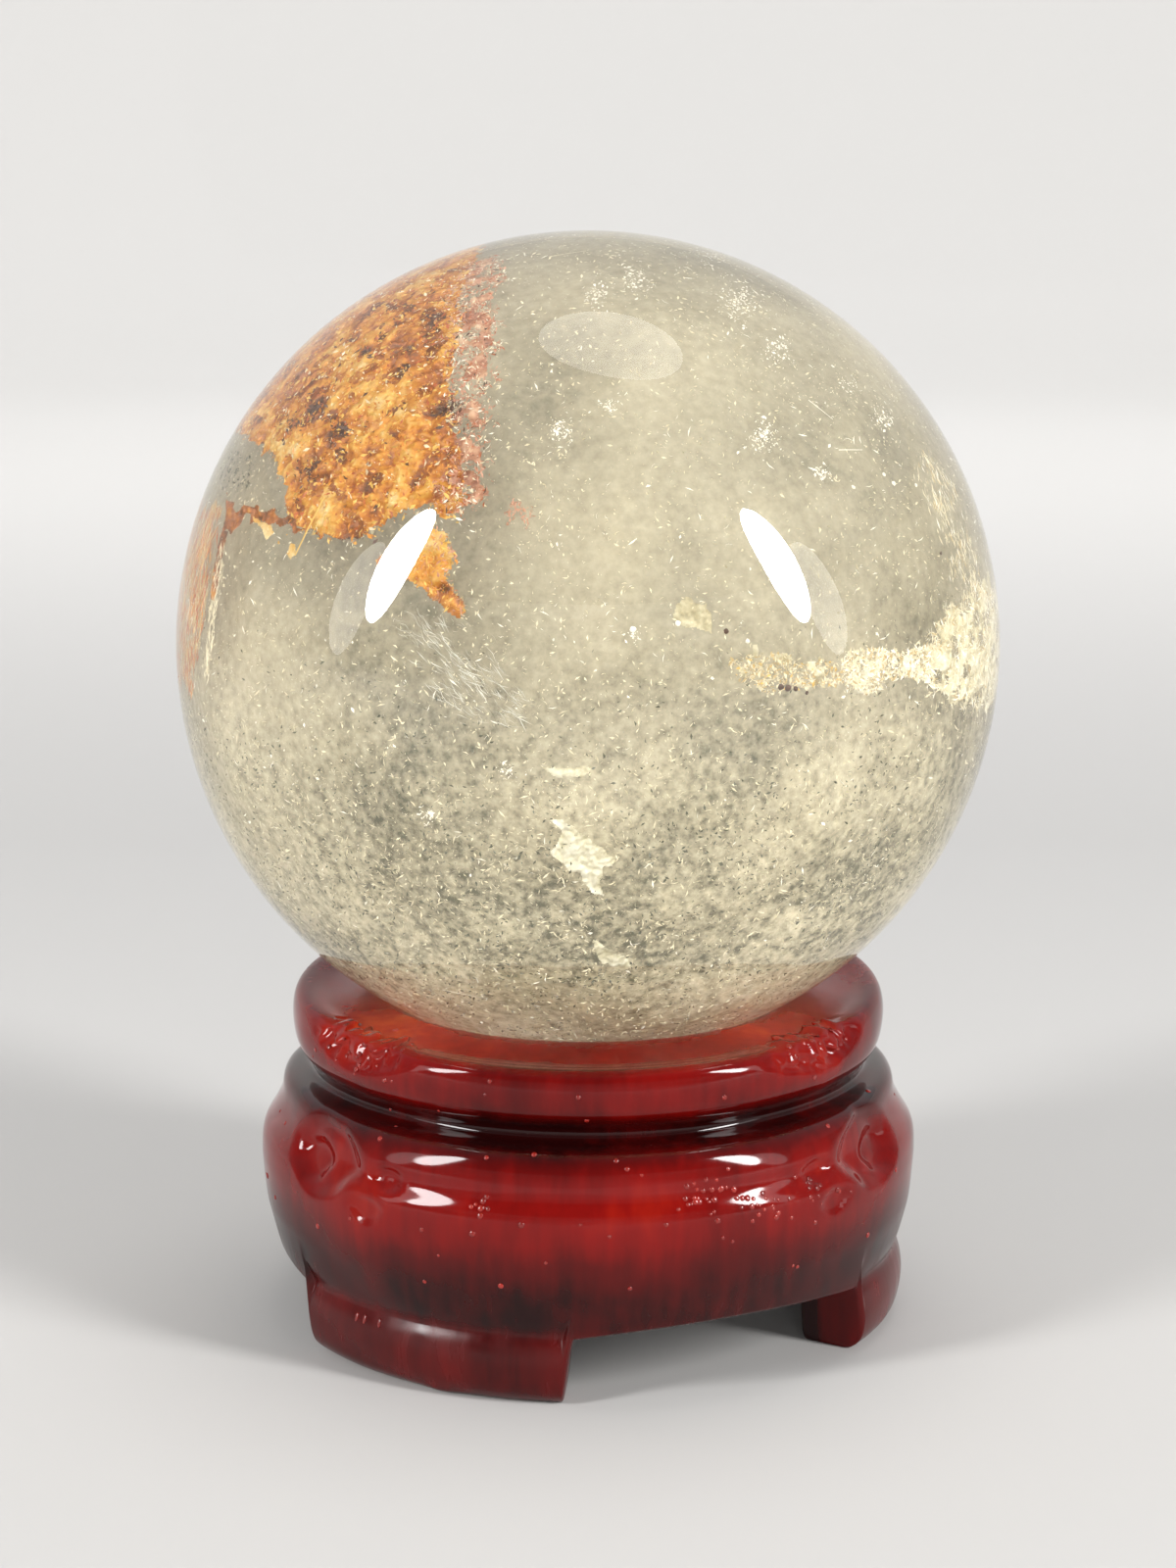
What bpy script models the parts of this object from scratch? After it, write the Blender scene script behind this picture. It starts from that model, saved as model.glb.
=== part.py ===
"""Garden quartz sphere on a turned wooden stand, both as plain solids at real size.

Metres, +Z up. The origin is on the surface the stand stands on, in the middle of the stand.
The front of the object faces -Y. Angles round the stand start at the front and grow towards +X.
"""

import math

import bmesh
import bpy

MM = 0.001

# The ball of quartz
SPHERE_RADIUS = 30.0 * MM
SPHERE_HEIGHT = 50.0 * MM
SPHERE_SEGMENTS = 56
SPHERE_RINGS = 28

# The seat that holds the ball: a shallow cup of the ball's own curve
SEAT_GAP = 0.3 * MM
SEAT_ANGLE = math.radians(31.0)
SEAT_STEPS = 5

# The ring round the seat. A pair holds how far a point lies out from and above the widest point.
RIM_RADIUS = 20.85 * MM
RIM_HEIGHT = 24.35 * MM
RIM_TILT = 0.9 * MM
RING_RADIUS = 22.0 * MM
RING_HEIGHT = 22.2 * MM
RING_SHOULDER = (-0.35 * MM, 1.45 * MM)
RING_UNDERSIDE = (-0.6 * MM, -2.5 * MM)
GROOVE_RADIUS = 20.4 * MM
GROOVE_HEIGHT = 18.75 * MM

# The belly below the groove, with its pairs as the ring's
BELLY_RADIUS = 24.45 * MM
BELLY_HEIGHT = 11.9 * MM
BELLY_TOP = (-1.6 * MM, 4.9 * MM)
BELLY_SHOULDER = (-0.35 * MM, 2.3 * MM)
BELLY_UNDERSIDE = (-0.3 * MM, -3.1 * MM)
CREASE_RADIUS = 23.0 * MM
CREASE_HEIGHT = 5.2 * MM

# The three feet, which are what three arches leave of the lowest ring.
# ARCH_ENDS holds the angles, in degrees, at which each hand-cut arch starts and ends.
FOOT_RADIUS = 23.75 * MM
FOOT_BULGE_HEIGHT = 2.6 * MM
TOE_RADIUS = 23.35 * MM
TOE_HEIGHT = 0.9 * MM
SOLE_RADIUS = 22.4 * MM
SOLE_INNER_RADIUS = 18.6 * MM
RECESS_RADIUS = 18.2 * MM
RECESS_HEIGHT = 6.8 * MM
ARCH_ENDS = [(-3.5, 57.0), (117.0, 177.0), (238.0, 300.5)]
ARCH_HEIGHT = 5.7 * MM
ARCH_END_HEIGHT = 4.6 * MM
ARCH_CORNER_ANGLE = math.radians(4.0)
ARCH_STEPS = 12
CUTTER_INNER_RADIUS = 12.0 * MM
CUTTER_OUTER_RADIUS = 30.0 * MM
CUTTER_BOTTOM = -3.0 * MM

# The carved hollows: three on the belly's shoulder, three in the ring's edge above them
HOLLOW_ANGLES = [math.radians(-57.5 + 120.0 * k) for k in range(3)]
SHOULDER_HOLLOW_HEIGHT = 15.6 * MM
SHOULDER_HOLLOW_DEPTH = 0.9 * MM
SHOULDER_HOLLOW_WIDTH = 5.4 * MM
SHOULDER_HOLLOW_RISE = 3.4 * MM
EDGE_HOLLOW_HEIGHT = 23.6 * MM
EDGE_HOLLOW_DEPTH = 0.5 * MM
EDGE_HOLLOW_WIDTH = 4.8 * MM
EDGE_HOLLOW_RISE = 1.3 * MM
HOLLOW_FALL = 1.25

# The turned stand is made of this many wedges, and each stretch of its profile of this many steps
STAND_STEPS = 84
PROFILE_STEPS = 2
WELD_DISTANCE = 0.01 * MM
SHARP_ANGLE = math.radians(40.0)

QUARTZ_COLOUR = (0.62, 0.60, 0.50, 1.0)
QUARTZ_ROUGHNESS = 0.05
QUARTZ_TRANSMISSION = 0.6
LACQUER_COLOUR = (0.22, 0.010, 0.006, 1.0)
LACQUER_ROUGHNESS = 0.12


def clear_scene():
    for old in list(bpy.data.objects):
        bpy.data.objects.remove(old, do_unlink=True)


def new_collection(name):
    collection = bpy.data.collections.new(name)
    bpy.context.scene.collection.children.link(collection)
    return collection


def plain_material(name, colour, roughness, transmission=0.0):
    material = bpy.data.materials.new(name)
    material.use_nodes = True
    shader = material.node_tree.nodes["Principled BSDF"]
    shader.inputs["Base Color"].default_value = colour
    shader.inputs["Metallic"].default_value = 0.0
    shader.inputs["Roughness"].default_value = roughness
    shader.inputs["Transmission Weight"].default_value = transmission
    return material


def smooth_curve(points, steps):
    """Points of a Catmull-Rom curve that passes through the given (radius, height) points."""
    ends = [points[0]] + list(points) + [points[-1]]
    curve = []
    for before, start, end, after in zip(ends, ends[1:], ends[2:], ends[3:]):
        for step in range(steps):
            t = step / steps
            curve.append(
                tuple(
                    0.5 * (2 * b + (c - a) * t + (2 * a - 5 * b + 4 * c - d) * t * t
                           + (3 * b - a - 3 * c + d) * t ** 3)
                    for a, b, c, d in zip(before, start, end, after)
                )
            )
    curve.append(points[-1])
    return curve


def offset(radius, height, pair):
    return (radius + pair[0], height + pair[1])


def seat_profile():
    """The cup, from the axis out to where the ball leaves it."""
    radius = SPHERE_RADIUS + SEAT_GAP
    angles = [SEAT_ANGLE * step / SEAT_STEPS for step in range(SEAT_STEPS + 1)]
    return [(radius * math.sin(a), SPHERE_HEIGHT - radius * math.cos(a)) for a in angles]


def ring_profile():
    """Over the rim and down the ring's side into the groove."""
    return smooth_curve(
        [
            (RIM_RADIUS, RIM_HEIGHT),
            offset(RING_RADIUS, RING_HEIGHT, RING_SHOULDER),
            (RING_RADIUS, RING_HEIGHT),
            offset(RING_RADIUS, RING_HEIGHT, RING_UNDERSIDE),
            (GROOVE_RADIUS, GROOVE_HEIGHT),
        ],
        PROFILE_STEPS,
    )


def belly_profile():
    """From the groove over the shoulder and the belly to the crease above the feet."""
    return smooth_curve(
        [
            (GROOVE_RADIUS, GROOVE_HEIGHT),
            offset(BELLY_RADIUS, BELLY_HEIGHT, BELLY_TOP),
            offset(BELLY_RADIUS, BELLY_HEIGHT, BELLY_SHOULDER),
            (BELLY_RADIUS, BELLY_HEIGHT),
            offset(BELLY_RADIUS, BELLY_HEIGHT, BELLY_UNDERSIDE),
            (CREASE_RADIUS, CREASE_HEIGHT),
        ],
        PROFILE_STEPS,
    )


def foot_profile():
    """From the crease round the foot to the sole's outer edge."""
    return smooth_curve(
        [
            (CREASE_RADIUS, CREASE_HEIGHT),
            (FOOT_RADIUS, FOOT_BULGE_HEIGHT),
            (TOE_RADIUS, TOE_HEIGHT),
            (SOLE_RADIUS, 0.0),
        ],
        PROFILE_STEPS,
    )


def underside_profile():
    """Across the sole, up into the recess and in to the axis."""
    return [
        (SOLE_INNER_RADIUS, 0.0),
        (RECESS_RADIUS, RECESS_HEIGHT),
        (0.0, RECESS_HEIGHT),
    ]


def stand_profile():
    return (
        seat_profile()
        + ring_profile()
        + belly_profile()[1:]
        + foot_profile()[1:]
        + underside_profile()
    )


def smooth_step(value):
    value = min(max(value, 0.0), 1.0)
    return value * value * (3.0 - 2.0 * value)


def hollow(angle, height, centre_angle, centre_height, width, rise):
    """1 in the middle of a carved hollow, falling to 0 at its border."""
    turn = (angle - centre_angle + math.pi) % (2.0 * math.pi) - math.pi
    across = turn * BELLY_RADIUS / width
    up = (height - centre_height) / rise
    return smooth_step(HOLLOW_FALL * (1.0 - math.hypot(across, up)))


def carve(radius, height, angle):
    """The hand finish: the rim runs lower at the front, and a gouge has made six hollows."""
    seat_edge = (SPHERE_RADIUS + SEAT_GAP) * math.sin(SEAT_ANGLE)
    shoulder_height = RING_HEIGHT + RING_SHOULDER[1]
    over_groove = smooth_step((height - GROOVE_HEIGHT) / (shoulder_height - GROOVE_HEIGHT))
    past_seat = smooth_step((radius - seat_edge) / (RIM_RADIUS - seat_edge))
    lowered = height - RIM_TILT * math.cos(angle) * over_groove * past_seat
    depth = 0.0
    for centre in HOLLOW_ANGLES:
        depth += SHOULDER_HOLLOW_DEPTH * hollow(
            angle, height, centre, SHOULDER_HOLLOW_HEIGHT, SHOULDER_HOLLOW_WIDTH, SHOULDER_HOLLOW_RISE
        )
        if radius >= RIM_RADIUS - WELD_DISTANCE:
            depth += EDGE_HOLLOW_DEPTH * hollow(
                angle, height, centre, EDGE_HOLLOW_HEIGHT, EDGE_HOLLOW_WIDTH, EDGE_HOLLOW_RISE
            )
    return radius - depth, lowered


def turned_mesh(name, profile, steps):
    """A profile turned round the Z axis by a Screw modifier, as a closed mesh."""
    mesh = bpy.data.meshes.new(name + "_profile")
    points = [(radius, 0.0, height) for radius, height in profile]
    edges = [(index, index + 1) for index in range(len(points) - 1)]
    mesh.from_pydata(points, edges, [])
    guide = bpy.data.objects.new(name + "_profile", mesh)
    bpy.context.scene.collection.objects.link(guide)
    screw = guide.modifiers.new("turn", "SCREW")
    screw.steps = steps
    screw.render_steps = steps
    screw.use_merge_vertices = True
    screw.merge_threshold = WELD_DISTANCE
    screw.use_normal_calculate = True
    bpy.context.view_layer.update()
    evaluated = guide.evaluated_get(bpy.context.evaluated_depsgraph_get())
    turned = bpy.data.meshes.new_from_object(evaluated)
    turned.name = name
    bpy.data.objects.remove(guide, do_unlink=True)
    return turned


def weld(mesh, distance):
    work = bmesh.new()
    work.from_mesh(mesh)
    bmesh.ops.remove_doubles(work, verts=work.verts, dist=distance)
    bmesh.ops.recalc_face_normals(work, faces=work.faces)
    work.to_mesh(mesh)
    work.free()


def arch_outline(start, end):
    """(angle, height) points along the top of an arch, from one foot to the next."""
    middle = 0.5 * (start + end)
    half = 0.5 * (end - start)
    corner = ARCH_CORNER_ANGLE
    points = []
    for step in range(ARCH_STEPS + 1):
        angle = half * (2.0 * step / ARCH_STEPS - 1.0)
        crown = 1.0 - (angle / half) ** 2
        top = ARCH_END_HEIGHT + (ARCH_HEIGHT - ARCH_END_HEIGHT) * crown
        from_end = half - abs(angle)
        if from_end < corner:
            top -= corner * CREASE_RADIUS * (1.0 - math.sqrt(1.0 - (1.0 - from_end / corner) ** 2))
        points.append((middle + angle, top))
    return points


def arch_cutter(name, outline, collection):
    """A wedge of a ring, with the arch's outline, that reaches through the wall of the stand."""
    work = bmesh.new()
    walls = []
    for radius in (CUTTER_INNER_RADIUS, CUTTER_OUTER_RADIUS):
        top = []
        bottom = []
        for angle, height in outline:
            x = radius * math.sin(angle)
            y = -radius * math.cos(angle)
            top.append(work.verts.new((x, y, height)))
            bottom.append(work.verts.new((x, y, CUTTER_BOTTOM)))
        walls.append((top, bottom))
    (inner_top, inner_bottom), (outer_top, outer_bottom) = walls
    for k in range(len(inner_top) - 1):
        work.faces.new((inner_top[k], inner_top[k + 1], outer_top[k + 1], outer_top[k]))
        work.faces.new((inner_bottom[k], inner_bottom[k + 1], outer_bottom[k + 1], outer_bottom[k]))
        work.faces.new((inner_top[k], inner_top[k + 1], inner_bottom[k + 1], inner_bottom[k]))
        work.faces.new((outer_top[k], outer_top[k + 1], outer_bottom[k + 1], outer_bottom[k]))
    for k in (0, -1):
        work.faces.new((inner_top[k], outer_top[k], outer_bottom[k], inner_bottom[k]))
    bmesh.ops.recalc_face_normals(work, faces=work.faces)
    mesh = bpy.data.meshes.new(name)
    work.to_mesh(mesh)
    work.free()
    cutter = bpy.data.objects.new(name, mesh)
    cutter.hide_render = True
    cutter.display_type = "WIRE"
    collection.objects.link(cutter)
    return cutter


def make_sphere(collection):
    """The ball, ground and polished from one stone."""
    mesh = bpy.data.meshes.new("quartz_sphere")
    work = bmesh.new()
    bmesh.ops.create_uvsphere(
        work, u_segments=SPHERE_SEGMENTS, v_segments=SPHERE_RINGS, radius=SPHERE_RADIUS
    )
    work.to_mesh(mesh)
    work.free()
    mesh.shade_smooth()
    sphere = bpy.data.objects.new("quartz_sphere", mesh)
    sphere.location = (0.0, 0.0, SPHERE_HEIGHT)
    stone = plain_material("garden_quartz", QUARTZ_COLOUR, QUARTZ_ROUGHNESS, QUARTZ_TRANSMISSION)
    mesh.materials.append(stone)
    collection.objects.link(sphere)
    return sphere


def make_stand(collection, cutters):
    """The stand: turned, carved by hand, then cut through by three arches that leave three feet."""
    mesh = turned_mesh("stand", stand_profile(), STAND_STEPS)
    weld(mesh, WELD_DISTANCE)
    for vertex in mesh.vertices:
        radius = math.hypot(vertex.co.x, vertex.co.y)
        if radius < WELD_DISTANCE:
            continue
        angle = math.atan2(vertex.co.x, -vertex.co.y)
        carved_radius, carved_height = carve(radius, vertex.co.z, angle)
        vertex.co.x *= carved_radius / radius
        vertex.co.y *= carved_radius / radius
        vertex.co.z = carved_height
    mesh.shade_smooth()
    mesh.set_sharp_from_angle(angle=SHARP_ANGLE)
    stand = bpy.data.objects.new("stand", mesh)
    mesh.materials.append(plain_material("red_lacquer", LACQUER_COLOUR, LACQUER_ROUGHNESS))
    collection.objects.link(stand)
    for number, (start, end) in enumerate(ARCH_ENDS, start=1):
        outline = arch_outline(math.radians(start), math.radians(end))
        cut = stand.modifiers.new(f"arch_{number}", "BOOLEAN")
        cut.operation = "DIFFERENCE"
        cut.solver = "EXACT"
        cut.object = arch_cutter(f"arch_cutter_{number}", outline, cutters)
    return stand


def main():
    clear_scene()
    parts = new_collection("garden_quartz_sphere")
    cutters = new_collection("cutters")
    make_sphere(parts)
    make_stand(parts, cutters)


main()
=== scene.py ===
# %% [markdown]
# # A ball of garden quartz on a red lacquered stand
# The real object is a stone ball, 60 mm across, ground and polished so smooth that it mirrors the lamps.
# Inside it the quartz is cloudy, with tiny flecks, a rusty mineral garden under the skin and a cream
# crust. It rests in a small turned wooden stand under thick cherry red lacquer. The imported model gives
# every size here. This script adds the finish of each surface around it. Blender's noise is given a
# fixed seed, because its offsets would otherwise change from one run to the next.

# %% The frame
import math

import bmesh
import bpy
import numpy as np
from mathutils import Matrix, Vector, noise
from mathutils.bvhtree import BVHTree


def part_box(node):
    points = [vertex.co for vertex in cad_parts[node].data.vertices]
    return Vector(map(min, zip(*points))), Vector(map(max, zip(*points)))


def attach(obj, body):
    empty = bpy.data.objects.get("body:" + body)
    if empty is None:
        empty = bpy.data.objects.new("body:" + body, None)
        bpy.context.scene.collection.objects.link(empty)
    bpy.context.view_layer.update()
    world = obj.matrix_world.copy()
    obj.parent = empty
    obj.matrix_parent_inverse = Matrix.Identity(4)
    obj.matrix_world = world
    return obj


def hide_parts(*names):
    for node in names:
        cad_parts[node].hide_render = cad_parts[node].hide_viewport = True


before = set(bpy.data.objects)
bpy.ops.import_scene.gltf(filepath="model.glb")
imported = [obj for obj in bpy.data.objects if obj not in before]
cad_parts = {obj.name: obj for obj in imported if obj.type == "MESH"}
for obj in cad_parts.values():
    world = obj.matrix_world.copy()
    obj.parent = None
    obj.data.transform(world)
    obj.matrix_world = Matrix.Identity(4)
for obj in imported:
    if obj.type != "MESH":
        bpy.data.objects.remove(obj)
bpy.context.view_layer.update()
MM = 0.001
NOISE_SEED = 11
noise.seed_set(NOISE_SEED)

ball_low, ball_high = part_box("quartz_sphere")
BALL_CENTRE = (ball_low + ball_high) / 2
BALL_RADIUS = (ball_high.z - ball_low.z) / 2
print("ball centre", tuple(round(x / MM, 2) for x in BALL_CENTRE), "radius", round(BALL_RADIUS / MM, 2))

# %% [markdown]
# ## The camera
# The photograph is 1200 by 1600 pixels and was taken close up, from a little above the ball's middle.
# Its distance, pitch and lens come from how much wider the stand's near edges look than its far ones.
# They are set before anything is made, because the spots in the stone are placed by where they show.

# %% The camera
PHOTO_WIDTH = 1200
PHOTO_HEIGHT = 1600
CAMERA_PLACE = Vector((0.0, -0.2515, 0.0921))
CAMERA_PITCH = math.radians(78.2)
CAMERA_LENS = 79.82
CAMERA_SENSOR = 36.0
FOCAL_PIXELS = PHOTO_HEIGHT * CAMERA_LENS / CAMERA_SENSOR

camera_data = bpy.data.cameras.new("photo_camera")
camera_data.lens = CAMERA_LENS
camera_data.sensor_width = CAMERA_SENSOR
camera_data.clip_start = 0.01
camera = bpy.data.objects.new("photo_camera", camera_data)
camera.location = CAMERA_PLACE
camera.rotation_euler = (CAMERA_PITCH, 0.0, 0.0)
bpy.context.scene.collection.objects.link(camera)
bpy.context.scene.camera = camera

# %% [markdown]
# ## The lamps
# Two upright softboxes stand left and right of the camera: the photograph shows each as a white streak
# on the ball, with a dim tail below it, which is a second, weaker lamp here. A third, dim one hangs
# overhead and one lights the backdrop. Two more that nothing mirrors fill in from above and from low in
# front. A matt pale floor and a grey sky fill the shadows. Area lamps are used because a glossy ball
# shows a lamp's shape, and a point lamp would leave a dot.

# %% The lamps
LAMP_DISTANCE = 0.9
KEY_DIRECTION = Vector((0.80, -0.51, 0.43))
KEY_SIZE = (0.154, 0.486)
KEY_POWER_LEFT = 6.1
KEY_POWER_RIGHT = 8.1
KEY_LEAN = math.radians(14.0)
TAIL_DIRECTION = Vector((0.90, -0.37, 0.25))
TAIL_SIZE = (0.17, 0.44)
TAIL_POWER = 0.45
TOP_DIRECTION = Vector((0.08, 0.13, 0.98))
TOP_SIZE = (0.465, 0.377)
TOP_POWER = 0.75
TOP_FILL_POWER = 1.3
BACKDROP_LAMP_PLACE = Vector((0.0, 0.42, 0.55))
BACKDROP_LAMP_SIZE = (1.2, 0.3)
BACKDROP_LAMP_TILT = math.radians(64.0)
BACKDROP_LAMP_POWER = 6.0
FILL_PLACE = Vector((0.0, -0.42, 0.045))
FILL_SIZE = (0.5, 0.07)
FILL_SPREAD = math.radians(90.0)
FILL_POWER = 0.30


def softbox(name, direction, size, power, lean):
    """An oval lamp that looks at the ball from that direction, turned a little about its own middle."""
    lamp_data = bpy.data.lights.new(name, "AREA")
    lamp_data.shape = "ELLIPSE"
    lamp_data.size, lamp_data.size_y = size
    lamp_data.energy = power
    lamp = bpy.data.objects.new(name, lamp_data)
    lamp.location = BALL_CENTRE + direction.normalized() * LAMP_DISTANCE
    facing = direction.to_track_quat("Z", "Y").to_matrix()
    lamp.rotation_euler = (facing @ Matrix.Rotation(lean, 3, "Z")).to_euler()
    bpy.context.scene.collection.objects.link(lamp)
    return lamp


softbox("key_right", KEY_DIRECTION, KEY_SIZE, KEY_POWER_RIGHT, KEY_LEAN)
softbox("key_left", KEY_DIRECTION * Vector((-1.0, 1.0, 1.0)), KEY_SIZE, KEY_POWER_LEFT, -KEY_LEAN)
softbox("tail_right", TAIL_DIRECTION, TAIL_SIZE, TAIL_POWER, KEY_LEAN)
softbox("tail_left", TAIL_DIRECTION * Vector((-1.0, 1.0, 1.0)), TAIL_SIZE, TAIL_POWER, -KEY_LEAN)
softbox("top_light", TOP_DIRECTION, TOP_SIZE, TOP_POWER, 0.0)
top_fill = softbox("top_fill", TOP_DIRECTION, TOP_SIZE, TOP_FILL_POWER, 0.0)
top_fill.visible_glossy = False
backdrop_light = softbox("backdrop_light", TOP_DIRECTION, BACKDROP_LAMP_SIZE, BACKDROP_LAMP_POWER, 0.0)
backdrop_light.location = BACKDROP_LAMP_PLACE
backdrop_light.rotation_euler = (BACKDROP_LAMP_TILT, 0.0, 0.0)
low_fill = softbox("low_fill", Vector((0.0, -1.0, 0.0)), FILL_SIZE, FILL_POWER, 0.0)
low_fill.location = FILL_PLACE
low_fill.data.spread = FILL_SPREAD
low_fill.visible_glossy = False

# %% [markdown]
# ## Helpers
# A finish is a tree of shader nodes, and every node is made the same way: its kind, its settings and
# what feeds its inputs. A few short functions for that keep the finishes below easy to read. The last
# one makes a mesh a piece of the object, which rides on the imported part's one body.

# %% Helpers for materials and pieces


def add_node(tree, kind, inputs=None, **settings):
    """A new node. inputs gives each input by name, as another node's output or as a plain value."""
    node = tree.nodes.new(kind)
    for name, value in settings.items():
        setattr(node, name, value)
    for name, value in (inputs or {}).items():
        if isinstance(value, bpy.types.NodeSocket):
            tree.links.new(value, node.inputs[name])
        else:
            node.inputs[name].default_value = value
    return node


def added(tree, first, second):
    """The sum of two values."""
    return add_node(tree, "ShaderNodeMath", {0: first, 1: second}, operation="ADD").outputs[0]


def multiplied(tree, first, second):
    """The product of two values."""
    return add_node(tree, "ShaderNodeMath", {0: first, 1: second}, operation="MULTIPLY").outputs[0]


def scaled(tree, value, factor, offset):
    """A value times a factor, plus an offset."""
    node = add_node(tree, "ShaderNodeMath", {0: value, 1: factor, 2: offset}, operation="MULTIPLY_ADD")
    return node.outputs[0]


def mapped(tree, value, low, high, at_low, at_high):
    """at_low where the value is low, at_high where it is high, and evenly between."""
    node = add_node(tree, "ShaderNodeMapRange", {0: value, 1: low, 2: high, 3: at_low, 4: at_high})
    return node.outputs[0]


def noise_of(tree, place, scale, **inputs):
    """A noise texture's value, from 0 to 1."""
    given = {name.capitalize(): value for name, value in inputs.items()}
    node = add_node(tree, "ShaderNodeTexNoise", {"Vector": place, "Scale": scale, **given})
    return node.outputs["Fac"]


def height_of(tree, place):
    """The Z part of a place."""
    return add_node(tree, "ShaderNodeSeparateXYZ", {"Vector": place}).outputs["Z"]


def ramp_between(tree, factor, *stops):
    """A Color Ramp node's colour; each stop is a position and a colour."""
    node = add_node(tree, "ShaderNodeValToRGB", {"Fac": factor})
    elements = node.color_ramp.elements
    elements[0].position, elements[1].position = stops[0][0], stops[-1][0]
    elements[0].color, elements[1].color = (*stops[0][1], 1), (*stops[-1][1], 1)
    for position, colour in stops[1:-1]:
        elements.new(position).color = (*colour, 1)
    return node.outputs["Color"]


def new_material(name, **values):
    """A material whose Principled shader has these plain values; underscores stand for spaces."""
    material = bpy.data.materials.new(name)
    material.use_nodes = True
    shader = material.node_tree.nodes["Principled BSDF"]
    for socket, value in values.items():
        shader.inputs[socket.replace("_", " ")].default_value = value
    return material, material.node_tree, shader


def smooth_step(value):
    """0 below 0, 1 above 1, and an even S between."""
    value = np.clip(value, 0.0, 1.0)
    return value * value * (3.0 - 2.0 * value)


def new_piece(name, mesh, material):
    """A visible piece of the object that rides on the part's one body."""
    mesh.materials.append(material)
    piece = bpy.data.objects.new(name, mesh)
    bpy.context.scene.collection.objects.link(piece)
    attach(piece, "root")
    return piece


# %% [markdown]
# ## The floor and the sky
# The floor is a disc that bends up into a wall, so that no corner shows behind the ball. One line is
# spun into it. It belongs to the stage, not to the object. The sky is dimmer in front than behind,
# because a bright one would lie as a grey haze on the red lacquer.

# %% The floor
FLOOR_COLOUR = (0.53, 0.52, 0.505, 1.0)
FLOOR_RADIUS = 0.75
FLOOR_BEND = 0.5
BEND_STEPS = 12
FLOOR_STEPS = 96
FLOOR_MERGE = 0.1 * MM
floor_material, _, _ = new_material("pale_floor", Base_Color=FLOOR_COLOUR, Roughness=0.8)
shape = bmesh.new()
side = [shape.verts.new((0.0, 0.0, 0.0))]
for bend in np.linspace(0.0, math.pi / 2, BEND_STEPS):
    out, up = FLOOR_BEND * math.sin(bend), FLOOR_BEND * (1 - math.cos(bend))
    side.append(shape.verts.new((FLOOR_RADIUS + out, 0.0, up)))
edges = [shape.edges.new(pair) for pair in zip(side, side[1:])]
bmesh.ops.spin(
    shape,
    geom=side + edges,
    axis=(0, 0, 1),
    cent=(0, 0, 0),
    angle=2 * math.pi,
    steps=FLOOR_STEPS,
    use_merge=True,
)
bmesh.ops.remove_doubles(shape, verts=shape.verts, dist=FLOOR_MERGE)
bmesh.ops.recalc_face_normals(shape, faces=shape.faces)
floor_mesh = bpy.data.meshes.new("floor")
shape.to_mesh(floor_mesh)
shape.free()
floor_mesh.shade_smooth()
floor_mesh.materials.append(floor_material)
floor = bpy.data.objects.new("floor", floor_mesh)
bpy.context.scene.collection.objects.link(floor)
print("floor of", len(floor_mesh.polygons), "faces")

# %% The sky
SKY_COLOUR = (0.96, 0.97, 1.0, 1.0)
SKY_IN_FRONT = 0.16
SKY_BEHIND = 0.62
SKY_FRONT_EDGE = -0.7
SKY_BACK_EDGE = 0.5
sky = bpy.data.worlds.new("studio")
sky.use_nodes = True
backdrop = sky.node_tree.nodes["Background"]
way = add_node(sky.node_tree, "ShaderNodeTexCoord").outputs["Generated"]
behind = add_node(sky.node_tree, "ShaderNodeSeparateXYZ", {"Vector": way}).outputs["Y"]
brightness = mapped(sky.node_tree, behind, SKY_FRONT_EDGE, SKY_BACK_EDGE, SKY_IN_FRONT, SKY_BEHIND)
sky.node_tree.links.new(brightness, backdrop.inputs["Strength"])
backdrop.inputs["Color"].default_value = SKY_COLOUR
bpy.context.scene.world = sky
bpy.context.scene.view_settings.view_transform = "Standard"

# %% [markdown]
# ## The polished ball
# Clear quartz bends light a little more than window glass does. The ball is a plain see-through solid,
# and a round shape that the toolbox has needs no modelling. Light from the lamps goes straight through
# its surface onto what is inside: bent rays would find a lamp only by chance, and that leaves grain in
# the picture.

# %% The polished ball
QUARTZ_IOR = 1.54
BALL_SEGMENTS = 192
BALL_RINGS = 96
QUARTZ_TINT = (0.985, 0.972, 0.91, 1.0)

quartz, tree, shader = new_material(
    "clear_quartz", Base_Color=QUARTZ_TINT, Roughness=0.0, IOR=QUARTZ_IOR, Transmission_Weight=1.0
)
lamp_path = add_node(tree, "ShaderNodeLightPath")
open_way = add_node(tree, "ShaderNodeBsdfTransparent")
either = add_node(tree, "ShaderNodeMixShader", {"Fac": lamp_path.outputs["Is Shadow Ray"]})
tree.links.new(shader.outputs["BSDF"], either.inputs[1])
tree.links.new(open_way.outputs["BSDF"], either.inputs[2])
tree.links.new(either.outputs["Shader"], tree.nodes["Material Output"].inputs["Surface"])

shape = bmesh.new()
bmesh.ops.create_uvsphere(shape, u_segments=BALL_SEGMENTS, v_segments=BALL_RINGS, radius=BALL_RADIUS)
bmesh.ops.translate(shape, verts=shape.verts, vec=BALL_CENTRE)
ball_mesh = bpy.data.meshes.new("polished_ball")
shape.to_mesh(ball_mesh)
shape.free()
ball_mesh.shade_smooth()
ball = new_piece("polished_ball", ball_mesh, quartz)
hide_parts("quartz_sphere")
print("ball of", len(ball_mesh.polygons), "faces")
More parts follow.
